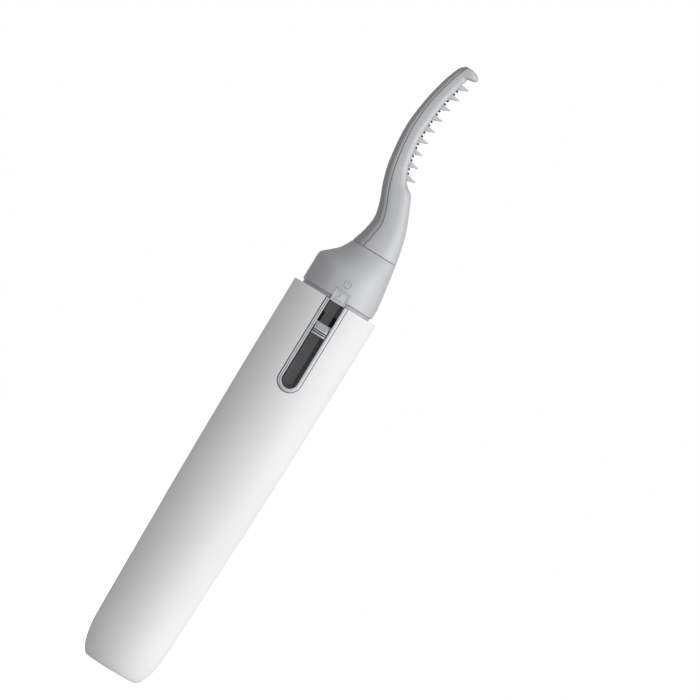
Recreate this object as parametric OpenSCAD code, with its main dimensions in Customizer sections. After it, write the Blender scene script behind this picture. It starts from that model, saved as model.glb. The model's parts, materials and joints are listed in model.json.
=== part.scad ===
// Pen-shaped heated eyelash curler, in millimetres. +Z runs along the pen from its flat end, which is at
// the origin, to the tip of the head. The switch is on the -Y side and the comb points towards +X.
// The sleeve is also the battery cover: everything else is one core that slides out of it along +Z.

/* [Sleeve] */
// Height of the sleeve, from its flat end to its open rim
sleeve_h = 83.1; // [82.8:0.1:83.4]
// Outer radius at the open rim
sleeve_rim_r = 9.075; // [9.05:0.025:9.25]
// Outer radius that the taper would reach at the flat end
sleeve_end_r = 7.7; // [7.7:0.05:7.9]
// Exponent of the barrel-shaped taper
taper_power = 1.87; // [1.8:0.01:2]
// Height of the rounding around the flat end
end_round_h = 8; // [7:0.5:8]
// Depth of the rounding around the flat end
end_round_d = 2.4; // [2:0.1:2.4]

/* [Collar] */
// Radius of the collar's straight band, where a cap would push on
collar_r = 7.75; // [7.7:0.01:7.8]
// Height of the straight band
band_h = 2.6; // [2.4:0.1:2.8]
// Width of the dark groove between sleeve and collar
rim_groove_h = 0.7; // [0.5:0.1:0.8]

/* [Head] */
// Height of the seam between collar and head
neck_z = 95; // [95:0.1:95.2]
// Overall height of the curler
total_h = 135; // [135:0.1:135.4]
// Gap along the seam between the head's two shells
seam_gap = 0.12; // [0.06:0.01:0.14]
// Wall of the head housing
head_wall = 0.9; // [0.8:0.05:1]

/* [Comb and heater] */
// Number of teeth in each row
teeth = 9; // [8:1:10]
// Height of the lowest tooth
tooth_low_z = 110.7; // [110.6:0.1:110.8]
// Height of the highest tooth
tooth_high_z = 130.9; // [130.7:0.05:130.9]
// How far a tooth stands out of the head
tooth_len = 1.8; // [1.6:0.1:2.2]
// Thickness of a tooth where it leaves the rail
tooth_root = 1.2; // [1:0.05:1.3]
// Distance between turns of the heating wire
coil_pitch = 0.84; // [0.84:0.02:1]
// Diameter of the heating wire
heat_wire_d = 0.36; // [0.3:0.02:0.38]

/* [Switch] */
// Width of the chrome bezel
bezel_w = 4.8; // [4.7:0.05:4.9]
// Height of the centre of the bezel's round end
bezel_end_z = 65.65; // [65.5:0.05:65.8]
// Width of the bezel's window at its face
window_w = 3.2; // [3.1:0.05:3.3]
// Travel of the slider from off to on
switch_travel = 2.7; // [2.4:0.1:2.7]
// Height of the slider's centre when off
knob_z = 77; // [76.9:0.05:77.1]
// Length of the knob along the pen
knob_len = 2.6; // [2.4:0.1:2.7]

/* [Battery] */
// Diameter of the cell, size AAA
cell_d = 10.5; // [10.3:0.1:10.5]
// Length of the cell with its button
cell_len = 44.5; // [44:0.1:44.5]

/* [Hidden] */
$fn = 72;
eps = 0.01;
slip = 0.08;        // gap around pieces that push together by hand

// Colours
c_white = [0.90, 0.90, 0.91];
c_silver = [0.72, 0.73, 0.75];
c_grey = [0.50, 0.51, 0.53];
c_chrome = [0.80, 0.82, 0.85];
c_dark = [0.16, 0.17, 0.18];
c_frost = [0.86, 0.88, 0.90];
c_black = [0.08, 0.08, 0.09];
c_metal = [0.75, 0.72, 0.62];

// Inside of the sleeve
floor_z = 2.2;      // top of the sleeve's closed end
bore_low_r = 7.0;
bore_mid_r = 7.5;
bore_top_r = 7.7;
bore_low_z = 9;
bore_step_z = 56;

// The core's frame
shell_r = 7.5;      // chassis and front panel, outside
shell_in_r = 6.4;
shell_z0 = 56.5;
shell_z1 = 78.2;
half_gap = 0.15;    // from the split plane to each half
cradle_r = 6.3;
cradle_z0 = 5.3;
bulkhead_z = 54.1;
bulkhead_r = 7.2;
boss_at = [[5, 61], [-5, 69]];  // x and z of the screws that join the two shells
boss_y = 3.6;       // seat of their heads
pilot_r = 0.5;      // holes that the screws cut their thread in
head_hole_r = 1.05;
catch_at = [0, 6.8, 66]; // where the chassis clicks into the sleeve
strip_hole_x = [-1.1, 1.1];
screw_z = 80.8;     // collar's screw
tongue_r = 6.5;     // upper end of the chassis, inside the collar
tongue_z1 = 88;

// Battery contacts
cell_z0 = 9.2;
contact_t = 0.3;
strip_y = 5.9;

// Circuit board
board_y0 = 0.3;     // face with the switch
board_t = 1;
board_w = 7.8;
board_z0 = 57;
board_z1 = 85.9;

// Switch, from the outside in
face_y = -9.2;
track_y0 = -7.33;
track_t = 0.46;
window_floor_w = 1.66;
shutter_y0 = -6.8;
shutter_t = 0.45;
carrier_y0 = -6.3;
carrier_y1 = -3.6;
switch_top_y = -3.3;
knob_y = -9.35;     // outer face of the knob
stem_w = 1;
stem_len = 1.2;
stem_play = 0.1;
slot_z0 = knob_z - stem_len / 2 - stem_play;
slot_z1 = knob_z + switch_travel + stem_len / 2 + stem_play;
switch_mid_z = knob_z + switch_travel / 2;

// Collar
collar_z0 = sleeve_h + rim_groove_h;
spigot_r = 7.45;
spigot_in_r = 6.6;
spigot_z0 = 78.5;
collar_cavity_z = 88.5;
neck_cx = 1.48;     // middle of the collar at the neck
neck_gap = 0.14;    // from the collar to the head
rim_groove_r = 7.4; // bottom of the dark groove above the sleeve
lens_z0 = 82.9;
lens_z1 = 85.6;
lens_w = 3.2;
lens_back_y = -7.42;
lens_lip_y = -7.55;
lens_border = 0.16; // from its edge to the first of the lines cut into its face
lens_line_w = 0.13;
lens_line_d = 0.08;
tenon_x = [-0.4, 4.6];
tenon_hw = 2.6;
tenon_z0 = 91.2;
lead_hole = [0.9, 0];
lead_hole_r = 1.2;
head_screw_x = 3.4;

// Heater, measured from the head's comb-side edge
groove_d = 1.35;
groove_hw = 1.95;
groove_z0 = 109.6;
groove_z1 = 132;
rail_z0 = 109.9;
rail_z1 = 131.7;
coil_in = 0.5;      // depth of the coil's centre line
coil_rx = 0.58;
coil_ry = 0.75;
core_z0 = 110.7;
coil_z0 = 111.12;
coil_z1 = 130.6;
channel_d = 0.45;   // depth of the wire channel behind the comb
low_pass_z = 110.3; // where the wire goes through to the coil
high_pass_z = 130.9; // where it comes back
row_y = 1.55;
row_t = 0.6;
tooth_lean = 8;     // how much more the top tooth leans than the lowest
crimp_x = 2.8;      // sleeves that join the heating wire to the leads
crimp_y = 0.75;
crimp_z = 99.5;
crimp_len = 1.9;
lead_r = 0.4;

// ---- curves ----

// Outlines of the head seen from the switch side, each a few [height, x] knots
back_edge = [[95, -3.4], [98, -2.5], [101, -2.12], [104, -2.8], [108, -4.36], [112, -5.38],
             [119, -6.1], [125, -5.6], [130, -4.57], [133, -3.62], [134.3, -2.98], [135, -2.2]];
seam_edge = [[95, -1.3], [98, -0.7], [100.8, -0.45], [103.4, -1.15], [107.7, -2.9], [112.1, -4.1],
             [119, -4.95], [124.1, -4.78], [128.5, -3.98], [132.2, -2.97], [134.3, -2.28], [135, -1.85]];
comb_edge = [[95, 6.36], [99, 5.45], [102.6, 4.3], [106.1, 2.75], [108.2, 1.72], [109.3, 0.3],
             [112, -1.22], [116.3, -2.25], [120.2, -2.5], [126.4, -2.0], [129.9, -1.28], [132.4, -0.72]];
// The guard that curls over the top tooth
guard_edge = [[133.05, -0.45], [133.25, 0.6], [133.5, 1.05], [133.9, 1.18], [134.3, 0.92], [134.75, 0.3],
              [135, -0.6]];
half_width = [[95, 4.7], [100, 4.0], [107, 3.35], [118, 3.1], [130, 2.8], [133, 2.7], [134.3, 2.6],
              [134.8, 2.45], [135, 2.15]];

function slope(k, i) =
    let (a = max(i - 1, 0), b = min(i + 1, len(k) - 1)) (k[b][1] - k[a][1]) / (k[b][0] - k[a][0]);
function span_of(k, z, i = 0) = i >= len(k) - 2 || z <= k[i + 1][0] ? i : span_of(k, z, i + 1);
// Smooth curve through knots k at height z
function curve(k, z) =
    let (i = span_of(k, z), w = k[i + 1][0] - k[i][0], t = min(max((z - k[i][0]) / w, 0), 1),
         h1 = 2 * t * t * t - 3 * t * t + 1, h2 = t * t * t - 2 * t * t + t, h3 = t * t * t - t * t)
    h1 * k[i][1] + h2 * w * slope(k, i) + (1 - h1) * k[i + 1][1] + h3 * w * slope(k, i + 1);
function front_x(z) = z < 133 ? curve(comb_edge, z) : curve(guard_edge, z);

function signed_pow(v, p) = sign(v) * pow(abs(v), p);
// A point of a rounded section: centre [cx, 0], half sizes a and b, squareness n
function round_point(cx, a, b, n, t) = [cx + a * signed_pow(cos(t), 2 / n), b * signed_pow(sin(t), 2 / n)];
function head_n(z) = curve([[95, 2.3], [104, 2.8], [110, 3.2], [135, 3]], z);
function head_cx(z) = (front_x(z) + curve(back_edge, z)) / 2;
function head_a(z) = (front_x(z) - curve(back_edge, z)) / 2;
function head_point(z, t) = round_point(head_cx(z), head_a(z), curve(half_width, z), head_n(z), t);
// Angle at which the head's section crosses x
function angle_at_x(z, x) = acos(signed_pow((x - head_cx(z)) / head_a(z), head_n(z) / 2));
function angle_at_y(z, y) = asin(pow(min(y / curve(half_width, z), 1), head_n(z) / 2));

head_rings = concat([neck_z + neck_gap, for (z = [neck_z + 1:1:108]) z], [groove_z0 - 0.05, groove_z0 + 0.05],
                    [for (z = [110:1:131]) z], [groove_z1 - 0.05, groove_z1 + 0.05, 132.6, 133.05, 133.25,
                     133.5, 133.85, 134.3, 134.65, 134.88, total_h]);

// Outer radius of the sleeve at height z
function sleeve_r(z) =
    sleeve_end_r + (sleeve_rim_r - sleeve_end_r) * (1 - pow(max(1 - z / sleeve_h, 0), taper_power))
    - (z < end_round_h ? end_round_d * (1 - sqrt(1 - pow(1 - z / end_round_h, 2))) : 0);

// ---- shared shapes ----

// Closed skin over rings of points, all with the same count; its ends fan out from each ring's first point
module skin(rings) {
    n = len(rings[0]);
    m = len(rings);
    top = (m - 1) * n;
    polyhedron(points = [for (r = rings) each r],
               faces = concat([for (i = [1:n - 2]) [0, i, i + 1]],
                              [for (j = [0:m - 2]) for (i = [0:n - 1]) each quad(j * n, i, (i + 1) % n, n)],
                              [for (i = [1:n - 2]) [top, top + i + 1, top + i]]), convexity = 8);
}
// The two triangles between points a and b of one ring and the next
function quad(first, a, b, n) =
    [[first + a, first + n + a, first + n + b], [first + a, first + n + b, first + b]];
function at_height(points, z) = [for (p = points) [p[0], p[1], z]];

// Round wire along a path. Each ring stands square to the path, and turns with it as little as it can.
function unit(v) = v / norm(v);
function heading(path, i) = unit(path[min(i + 1, len(path) - 1)] - path[max(i - 1, 0)]);
function square_to(u, d) = unit(u - (u * d) * d);
function wire_ring(p, d, u, r, sides) =
    let (v = cross(d, u), a = 360 / sides)
    [for (k = [0:sides - 1]) p + r * (cos(a * k) * u + sin(a * k) * v)];
module wire(path, r, sides = 8, up = [0, 1, 0.01]) {
    skin([for (i = 0, u = square_to(up, heading(path, 0)); i < len(path);
               i = i + 1, u = i < len(path) ? square_to(u, heading(path, i)) : u)
        wire_ring(path[i], heading(path, i), u, r, sides)]);
}

module box(x, y, z) {
    translate([x[0], y[0], z[0]]) cube([x[1] - x[0], y[1] - y[0], z[1] - z[0]]);
}
// Cylinder along Y between y0 and y1
module y_rod(x, z, r, y0, y1) {
    translate([x, y0, z]) rotate([-90, 0, 0]) cylinder(r = r, h = y1 - y0);
}
// Slot shape with a round lower end, cut through from y0 to y1
module u_plate(w, end_z, top_z, y0, y1) {
    y_rod(0, end_z, w / 2, y0, y1);
    box([-w / 2, w / 2], [y0, y1], [end_z, top_z]);
}
// Half of a tube on the +Y side (side = 1) or the -Y side (side = -1)
module half_tube(r, r_in, z0, z1, side) {
    difference() {
        translate([0, 0, z0]) cylinder(r = r, h = z1 - z0);
        translate([0, 0, z0 - 1]) cylinder(r = r_in, h = z1 - z0 + 2);
        translate([-10, side > 0 ? -20 + half_gap : -half_gap, z0 - 1]) cube([20, 20, z1 - z0 + 2]);
    }
}

// ---- sleeve ----

module sleeve_solid(grow = 0) {
    round_steps = [90:-7.5:0];
    end_round = [for (a = round_steps) end_round_h * (1 - sin(a))];
    body = [for (z = [12:6:sleeve_h - 3]) z];
    rotate_extrude()
        polygon(concat([[0, 0]], [for (z = concat(end_round, body)) [sleeve_r(z) + grow, z]],
                       [[sleeve_rim_r + grow, sleeve_h - 0.15], [sleeve_rim_r + grow - 0.15, sleeve_h],
                        [0, sleeve_h]]));
}

module battery_cover() {
    color(c_white) difference() {
        sleeve_solid();
        rotate_extrude()
            polygon([[0, floor_z], [6, floor_z], [6.7, 5], [bore_low_r, bore_low_z],
                     [bore_mid_r, bore_step_z], [bore_top_r, bore_step_z], [bore_top_r, sleeve_h + 1],
                     [0, sleeve_h + 1]]);
        u_plate(bezel_w + 2 * slip, bezel_end_z, sleeve_h + 1, -12, -5);
        // catch for the chassis bump
        translate(catch_at) sphere(r = 1);
    }
}

// ---- core frame ----

module chassis() {
    cradle_h = bulkhead_z - cradle_z0;
    color(c_white) difference() {
        union() {
            difference() {
                translate([0, 0, cradle_z0 - eps]) cylinder(r = cradle_r, h = cradle_h + 2 * eps);
                translate([0, 0, cradle_z0 - 1]) cylinder(r = cell_d / 2 + 0.15, h = cradle_h + 2);
                box([-8, 8], [-8, -1.5], [cradle_z0 - 1, bulkhead_z + 1]);
            }
            translate([0, 0, cradle_z0 - 1.2]) cylinder(r = 5.9, h = 1.2);
            difference() {
                translate([0, 0, bulkhead_z]) cylinder(r = bulkhead_r, h = 2.6);
                translate([0, 0, bulkhead_z + 1.3]) cylinder(r = 6, h = 2);
            }
            half_tube(shell_r, shell_in_r, shell_z0, shell_z1, 1);
            half_tube(tongue_r, tongue_r - 0.9, shell_z1 - eps, tongue_z1, 1);
            half_tube(shell_r, tongue_r - 0.9, shell_z1 - 1.2, shell_z1, 1);
            screw_bosses(half_gap, boss_y + 0.4, 1.02);
            y_rod(0, screw_z, 1.3, 4.4, tongue_r - 0.4);
            // bump that clicks into the sleeve
            translate(catch_at) sphere(r = 0.85);
        }
        // contact strip, its tab and the positive tab
        box(strip_hole_x, [5.85, 7.3], [cradle_z0 - 0.1, bulkhead_z + 1]);
        box(strip_hole_x, [5.85, 6.3], [bulkhead_z, shell_z0 + 0.6]);
        box(strip_hole_x, [4.2, 6.5], [cradle_z0, cradle_z0 + 0.45]);
        box([-4.1, -2.7], [1.2, 1.8], [bulkhead_z - 1, bulkhead_z + 3]);
        screw_holes(pilot_r, -1, 9);
        screw_holes(head_hole_r, boss_y, 9);
        y_rod(0, screw_z, pilot_r, 4, 8);
    }
}

module screw_bosses(y0, y1, r) {
    for (p = boss_at) y_rod(p[0], p[1], r, y0, y1);
}
module screw_holes(r, y0, y1) {
    for (p = boss_at) y_rod(p[0], p[1], r, y0, y1);
}

module front_panel() {
    color(c_white) difference() {
        union() {
            half_tube(shell_r, shell_in_r, shell_z0 + 0.2, shell_z1, -1);
            screw_bosses(-4.3, -half_gap, 1.02);
        }
        // flat seat for the bezel, and the slider's way through
        u_plate(bezel_w + 0.1, bezel_end_z, shell_z1 + 1, -8, -6.82);
        box([-1.75, 1.75], [-8, -5], [71.2, shell_z1 + 1]);
        screw_holes(pilot_r, -2.9, 0);
    }
}

// Outlines of the collar's shoulder: left, right and half its depth
shoulder_left = [[84, -7.72], [86.4, -7.74], [89.4, -7.72], [90.1, -7.45], [91.6, -5.8],
                 [92.7, -4.7], [94.2, -3.8], [95, -3.4]];
shoulder_right = [[84, 7.72], [86.4, 7.68], [89.3, 7.28], [92.2, 6.8], [95, 6.36]];
shoulder_half = [[84, 7.72], [86.4, 7.71], [88.8, 7.45], [91.5, 6.5], [95, 4.7]];
// Its section has one half size to the left of its middle and another to the right
function shoulder_section(z) =
    let (band_z = collar_z0 + band_h, k = min(max((z - band_z) / (neck_z - band_z), 0), 1),
         cx = neck_cx * k * k * (3 - 2 * k), n = 2 + max(z - band_z, 0) * 0.03,
         left = cx - curve(shoulder_left, z), right = curve(shoulder_right, z) - cx)
    [for (t = [3.75:7.5:360])
        round_point(cx, abs(t - 180) < 90 ? left : right, curve(shoulder_half, z), n, t)];

module collar() {
    rings = [84.4, 85.6, 86.6, 87.6, 88.6, 89.3, 89.7, 90.05, 90.5, 91.0, 91.6, 92.1, 92.7, 93.4, 94.2, 95];
    color(c_silver) difference() {
        union() {
            translate([0, 0, spigot_z0]) cylinder(r = spigot_r, h = collar_z0 - spigot_z0 + 1);
            translate([0, 0, collar_z0]) cylinder(r = collar_r, h = band_h);
            skin([for (z = rings) at_height(shoulder_section(z), z)]);
            // closes the seam below the head
            translate([0, 0, neck_z - eps]) linear_extrude(neck_gap - 0.02 + eps) offset(delta = -0.4)
                polygon(shoulder_section(neck_z));
        }
        translate([0, 0, spigot_z0 - 1]) cylinder(r = spigot_in_r, h = collar_cavity_z - spigot_z0 + 1);
        // room for the switch bezel and the slider
        box([-2.6, 2.6], [-9, -5], [spigot_z0 - 1, sleeve_h + 0.02]);
        box([-1.75, 1.75], [-7.2, -5], [sleeve_h, sleeve_h + 1.2]);
        // seat and light shaft of the indicator
        box([-lens_w / 2 - 0.03, lens_w / 2 + 0.03], [-9, -7.4], [lens_z0 - 0.1, lens_z1 + 0.03]);
        box([-0.75, 0.75], [-8, -5], [83.85, 85.45]);
        // pocket, screw and leads of the head
        box([tenon_x[0] - 0.05, tenon_x[1] + 0.05], [-tenon_hw - 0.05, tenon_hw + 0.05],
            [tenon_z0 - 0.1, neck_z + 1]);
        translate([head_screw_x, 0, collar_cavity_z - 1]) cylinder(r = 0.75, h = 5);
        translate([lead_hole[0], lead_hole[1], collar_cavity_z - 1]) cylinder(r = lead_hole_r, h = 5);
        // dark groove above the sleeve
        difference() {
            translate([0, 0, sleeve_h]) cylinder(r = collar_r + 1, h = rim_groove_h);
            translate([0, 0, sleeve_h - 1]) cylinder(r = rim_groove_r, h = rim_groove_h + 2);
        }
        // screw at the back of the spigot
        y_rod(0, screw_z, 0.6, 6, 9);
        y_rod(0, screw_z, 1.25, 7.05, 9);
    }
}

// ---- switch ----

module bezel_window(w_face, w_floor) {
    depth = track_y0 - face_y;
    // straight stretch with sloping sides
    translate([0, 0, bezel_end_z]) linear_extrude(sleeve_h + 1 - bezel_end_z)
        polygon([[-w_face / 2, face_y - eps], [w_face / 2, face_y - eps], [w_floor / 2, track_y0],
                 [-w_floor / 2, track_y0]]);
    // round end, a cone with the same slope
    translate([0, face_y - eps, bezel_end_z]) rotate([-90, 0, 0])
        cylinder(r1 = w_face / 2, r2 = w_floor / 2, h = depth + eps);
}

module switch_bezel() {
    color(c_chrome) difference() {
        intersection() {
            u_plate(bezel_w, bezel_end_z, sleeve_h - 0.05, -10, track_y0 + track_t + 0.02);
            sleeve_solid(0.1);
        }
        bezel_window(window_w, window_floor_w);
        u_plate(3.8, bezel_end_z, sleeve_h + 1, track_y0 - 0.02, -6);
        // clears the lower end of the indicator
        box([-lens_w / 2 - 0.05, lens_w / 2 + 0.05], [-8, -7], [lens_z0 - 0.06, sleeve_h + 1]);
    }
}

module switch_track() {
    color(c_dark) difference() {
        u_plate(3.7, bezel_end_z, lens_z0 - 0.12, track_y0, track_y0 + track_t);
        box([-stem_w / 2 - 0.15, stem_w / 2 + 0.15], [-8, -6], [slot_z0, slot_z1]);
    }
}

module switch_knob() {
    top_hw = window_w / 2 - 0.14;
    low_hw = window_floor_w / 2 - 0.08;
    y0 = knob_y;
    y1 = track_y0 - 0.07;
    z0 = knob_z - knob_len / 2;
    color(c_chrome) {
        difference() {
            translate([0, 0, z0]) linear_extrude(knob_len)
                polygon([[-top_hw, y0], [top_hw, y0], [low_hw, y1], [-low_hw, y1]]);
            // sloping upper face
            translate([-3, y0, z0 + knob_len * 0.62]) rotate([-38, 0, 0])
                translate([0, -2, 0]) cube([6, 2, 4]);
            // grip grooves across the lower half
            for (i = [0:1]) translate([0, y0, z0 + 0.5 + 0.4 * i]) rotate([45, 0, 0])
                cube([6, 0.26, 0.26], center = true);
        }
        box([-stem_w / 2, stem_w / 2], [y1 - eps, carrier_y0 + 0.6],
            [knob_z - stem_len / 2, knob_z + stem_len / 2]);
    }
}

module switch_shutter() {
    color(c_dark) difference() {
        box([-1.3, 1.3], [shutter_y0, shutter_y0 + shutter_t],
            [slot_z0 - switch_travel - 0.4, slot_z1 + 0.4]);
        stem_hole(shutter_y0 - 1, shutter_y0 + 1);
    }
}
module stem_hole(y0, y1) {
    box([-stem_w / 2 - 0.02, stem_w / 2 + 0.02], [y0, y1],
        [knob_z - stem_len / 2 - 0.02, knob_z + stem_len / 2 + 0.02]);
}

module switch_carrier() {
    color(c_black) difference() {
        box([-1.6, 1.6], [carrier_y0, carrier_y1], [knob_z - 2.3, knob_z + 2.3]);
        stem_hole(carrier_y0 - 1, carrier_y0 + 0.65);
        box([-0.8, 0.8], [-5.25, carrier_y1 + 1], [knob_z - 0.8, knob_z + 0.8]);
    }
}

module slide_switch_body() {
    color(c_metal) difference() {
        box([-2, 2], [switch_top_y, board_y0 - 0.02], [switch_mid_z - 4.7, switch_mid_z + 4.7]);
        box([-1.45, 1.45], [switch_top_y + 0.35, -1.3], [switch_mid_z - 4, switch_mid_z + 4]);
        box([-0.85, 0.85], [switch_top_y - 1, switch_top_y + 0.5],
            [knob_z - 0.85, knob_z + switch_travel + 0.85]);
    }
}

module slide_switch_lever() {
    color(c_black) {
        box([-0.75, 0.75], [-5.15, switch_top_y + 0.9], [knob_z - 0.75, knob_z + 0.75]);
        box([-1.35, 1.35], [switch_top_y + 0.5, -1.4], [knob_z - 1.3, knob_z + 1.3]);
    }
}

// ---- electronics ----

module circuit_board() {
    color([0.10, 0.35, 0.20]) difference() {
        box([-board_w / 2, board_w / 2], [board_y0, board_y0 + board_t], [board_z0, board_z1]);
        for (x = [-2.4, 2.4]) y_rod(x, 58.6, 0.45, 0, 2);
    }
}

module boost_chip() {
    color(c_black) box([-1.5, 1.5], [board_y0 - 1.15, board_y0 - 0.02], [66.4, 69.3]);
    color(c_metal) for (x = [-1, 0, 1]) for (z = [65.8, 69.3])
        box([x - 0.2, x + 0.2], [board_y0 - 0.3, board_y0 - 0.02], [z - 0.05, z + 0.65]);
}

module power_inductor() {
    color(c_black) difference() {
        box([-2.3, 2.3], [board_y0 - 2.1, board_y0 - 0.02], [60, 64.6]);
        y_rod(0, 62.3, 1.5, board_y0 - 3, board_y0 - 1.9);
    }
}

module board_capacitors() {
    color([0.72, 0.60, 0.42]) for (p = [[-2.9, 67.2], [2.9, 67.2], [0, 71.6]])
        box([p[0] - 0.45, p[0] + 0.45], [board_y0 - 0.85, board_y0 - 0.02], [p[1] - 0.85, p[1] + 0.85]);
}

module indicator_led() {
    color([0.95, 0.95, 0.9]) box([-0.8, 0.8], [board_y0 - 0.8, board_y0 - 0.02], [84, 85.3]);
}

// The indicator's outside follows the collar: what is given, cut back to radius r
module lens_frame(inset) {
    box([-lens_w / 2 + inset, lens_w / 2 - inset], [-9, -7], [collar_z0 + inset, lens_z1 - inset]);
}

// Arrow towards "on"
module lens_arrow(inset) {
    translate([0, -7, 0]) rotate([90, 0, 0]) linear_extrude(2) offset(delta = -inset)
        polygon([[-0.9, collar_z0 + 0.4], [0.9, collar_z0 + 0.4], [0, lens_z1 - 0.4]]);
}

module indicator_lens() {
    color(c_frost, 0.7) {
        difference() {
            union() {
                intersection() {
                    translate([0, 0, collar_z0]) cylinder(r = collar_r, h = lens_z1 - collar_z0);
                    box([-lens_w / 2, lens_w / 2], [-9, lens_back_y], [collar_z0, lens_z1]);
                }
                // flat lip down to the bezel
                box([-lens_w / 2, lens_w / 2], [lens_lip_y, lens_back_y], [lens_z0, collar_z0 + eps]);
            }
            difference() {
                union() {
                    difference() {
                        lens_frame(lens_border);
                        lens_frame(lens_border + lens_line_w);
                    }
                    difference() {
                        lens_arrow(0);
                        lens_arrow(lens_line_w);
                    }
                }
                translate([0, 0, collar_z0]) cylinder(r = collar_r - lens_line_d, h = lens_z1 - collar_z0);
            }
        }
        // light guide to the lamp
        box([-0.7, 0.7], [lens_back_y - 0.1, board_y0 - 0.9], [83.95, 85.35]);
    }
}

// ---- battery ----

module battery_cell() {
    can_len = cell_len - 1;
    color([0.25, 0.28, 0.33]) {
        rotate_extrude() polygon([[0, cell_z0], [cell_d / 2 - 0.5, cell_z0], [cell_d / 2, cell_z0 + 0.5],
                                  [cell_d / 2, cell_z0 + can_len - 0.6],
                                  [cell_d / 2 - 0.6, cell_z0 + can_len], [0, cell_z0 + can_len]]);
        translate([0, 0, cell_z0 + can_len - eps]) cylinder(r = 1.9, h = 1 + eps);
    }
}

module negative_spring() {
    turns = 3.5;
    steps = 24;
    wire_r = 0.25;
    z0 = cradle_z0 + contact_t + 0.02 + wire_r;
    z1 = cell_z0 - wire_r - 0.02;
    color(c_metal) wire([for (i = [0:turns * steps]) let (k = i / (turns * steps), r = 4.1 - 1.5 * k)
        [r * cos(360 * i / steps), r * sin(360 * i / steps), z0 + (z1 - z0) * k]], wire_r);
}

module negative_plate() {
    color(c_metal) {
        translate([0, 0, cradle_z0 + 0.01]) cylinder(r = 4.7, h = contact_t);
        box([-1, 1], [4, strip_y + 0.3], [cradle_z0 + 0.01, cradle_z0 + 0.01 + contact_t]);
    }
}

module positive_plate() {
    z = cell_z0 + cell_len + 0.02;
    color(c_metal) {
        box([-3.6, 3.6], [-2.4, 2.4], [z, z + contact_t]);
        box([-3.9, -2.9], [board_y0 + board_t + 0.02, board_y0 + board_t + 0.32], [z, 59.4]);
    }
}

module return_strip() {
    top_z = 58.2;
    color(c_metal) {
        box([-1, 1], [strip_y, strip_y + contact_t], [cradle_z0 + contact_t + 0.02, top_z]);
        box([-1, 1], [board_y0 + board_t + 0.02, strip_y + contact_t], [top_z - contact_t, top_z]);
    }
}

// ---- head ----

// Cavity behind the housing's face, wide below the comb and a shallow wire channel behind it
function cavity_depth(z) =
    z < neck_z + 1.6 || z > 131.5 ? 0.06
    : z < 107.5 ? curve(comb_edge, z) - curve(seam_edge, z) - head_wall - 0.4
    : channel_d;
function cavity_half(z) = z < 107.5 ? curve(half_width, z) - head_wall - 0.9 : 1.0;

// The rest of an outline that is the same on both sides of the XZ plane
function mirrored(half) = concat(half, [for (i = [len(half) - 1:-1:1]) [half[i][0], -half[i][1]]]);

function housing_section(z) =
    let (xs = curve(seam_edge, z) + seam_gap / 2, ts = angle_at_x(z, xs),
         grooved = z > groove_z0 && z < groove_z1,
         tg = grooved ? angle_at_y(z, groove_hw) : 22)
    mirrored(concat(
        [for (f = [0, 0.5, 0.96])
            grooved ? [front_x(z) - groove_d, f * groove_hw] : head_point(z, tg * f * 0.9)],
        [for (i = [0:10]) head_point(z, tg + (ts - tg) * i / 10)],
        [for (t = [90:-15:15])
            [xs + cavity_depth(z) * sqrt(max(cos(t), 0)), cavity_half(z) * sqrt(sin(t))]]));

module head_housing() {
    color(c_silver) difference() {
        union() {
            skin([for (z = head_rings) at_height(housing_section(z), z)]);
            box(tenon_x, [-tenon_hw, tenon_hw], [tenon_z0, neck_z + 0.5]);
        }
        translate([head_screw_x, 0, tenon_z0 - 1]) cylinder(r = 0.5, h = 5.4);
        translate([lead_hole[0], lead_hole[1], tenon_z0 - 1]) cylinder(r = lead_hole_r, h = 7.5);
        // the leads' way from the cavity to the heater
        translate([-3.55, 0, low_pass_z]) rotate([0, 90, 0]) cylinder(r = 0.6, h = 2.5);
        translate([-3.15, 0, high_pass_z]) rotate([0, 90, 0]) cylinder(r = 0.4, h = 2);
    }
}

function cover_section(z) =
    let (ts = angle_at_x(z, curve(seam_edge, z) - seam_gap / 2))
    mirrored([for (i = [0:10]) head_point(z, 180 + (180 - ts) * i / 10)]);

module head_back_cover() {
    color(c_grey) skin([for (z = head_rings) at_height(cover_section(z), z)]);
}

module lash_comb() {
    steps = 18;
    rail_z = [for (i = [0:steps]) rail_z0 + (rail_z1 - rail_z0) * i / steps];
    pitch = (tooth_high_z - tooth_low_z) / (teeth - 1);
    bridge = 0.7;
    color(c_frost) {
        for (side = [-1, 1])
            translate([0, side * row_y + row_t / 2, 0]) rotate([90, 0, 0]) linear_extrude(row_t) {
                polygon(concat([for (z = rail_z) [front_x(z) - 0.15, z]],
                               [for (i = [steps:-1:0]) [front_x(rail_z[i]) - groove_d + 0.15, rail_z[i]]]));
                for (i = [0:teeth - 1]) tooth(tooth_low_z + pitch * i, tooth_lean * (i / (teeth - 1) + 0.15));
            }
        for (z = [rail_z0, rail_z1 - bridge])
            box([front_x(z + bridge / 2) - 0.85, front_x(z + bridge / 2) - 0.4], [-row_y, row_y],
                [z, z + bridge]);
    }
}
// One pointed tooth, leaning up by lean degrees
module tooth(z, lean) {
    translate([front_x(z) - 0.3, z]) rotate(lean)
        polygon([[0, -tooth_root / 2], [0.5, -tooth_root * 0.46], [tooth_len + 0.1, -0.08],
                 [tooth_len + 0.3, 0], [tooth_len + 0.1, 0.08], [0.5, tooth_root * 0.46],
                 [0, tooth_root / 2]]);
}

module heater_core() {
    hx = coil_rx - heat_wire_d / 2 - 0.09;
    hy = coil_ry - heat_wire_d / 2 - 0.09;
    color(c_black) skin([for (z = [core_z0:0.95:coil_z1])
        at_height([for (k = [0:9]) [front_x(z) - coil_in + hx * cos(36 * k), hy * sin(36 * k)]], z)]);
}

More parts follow.
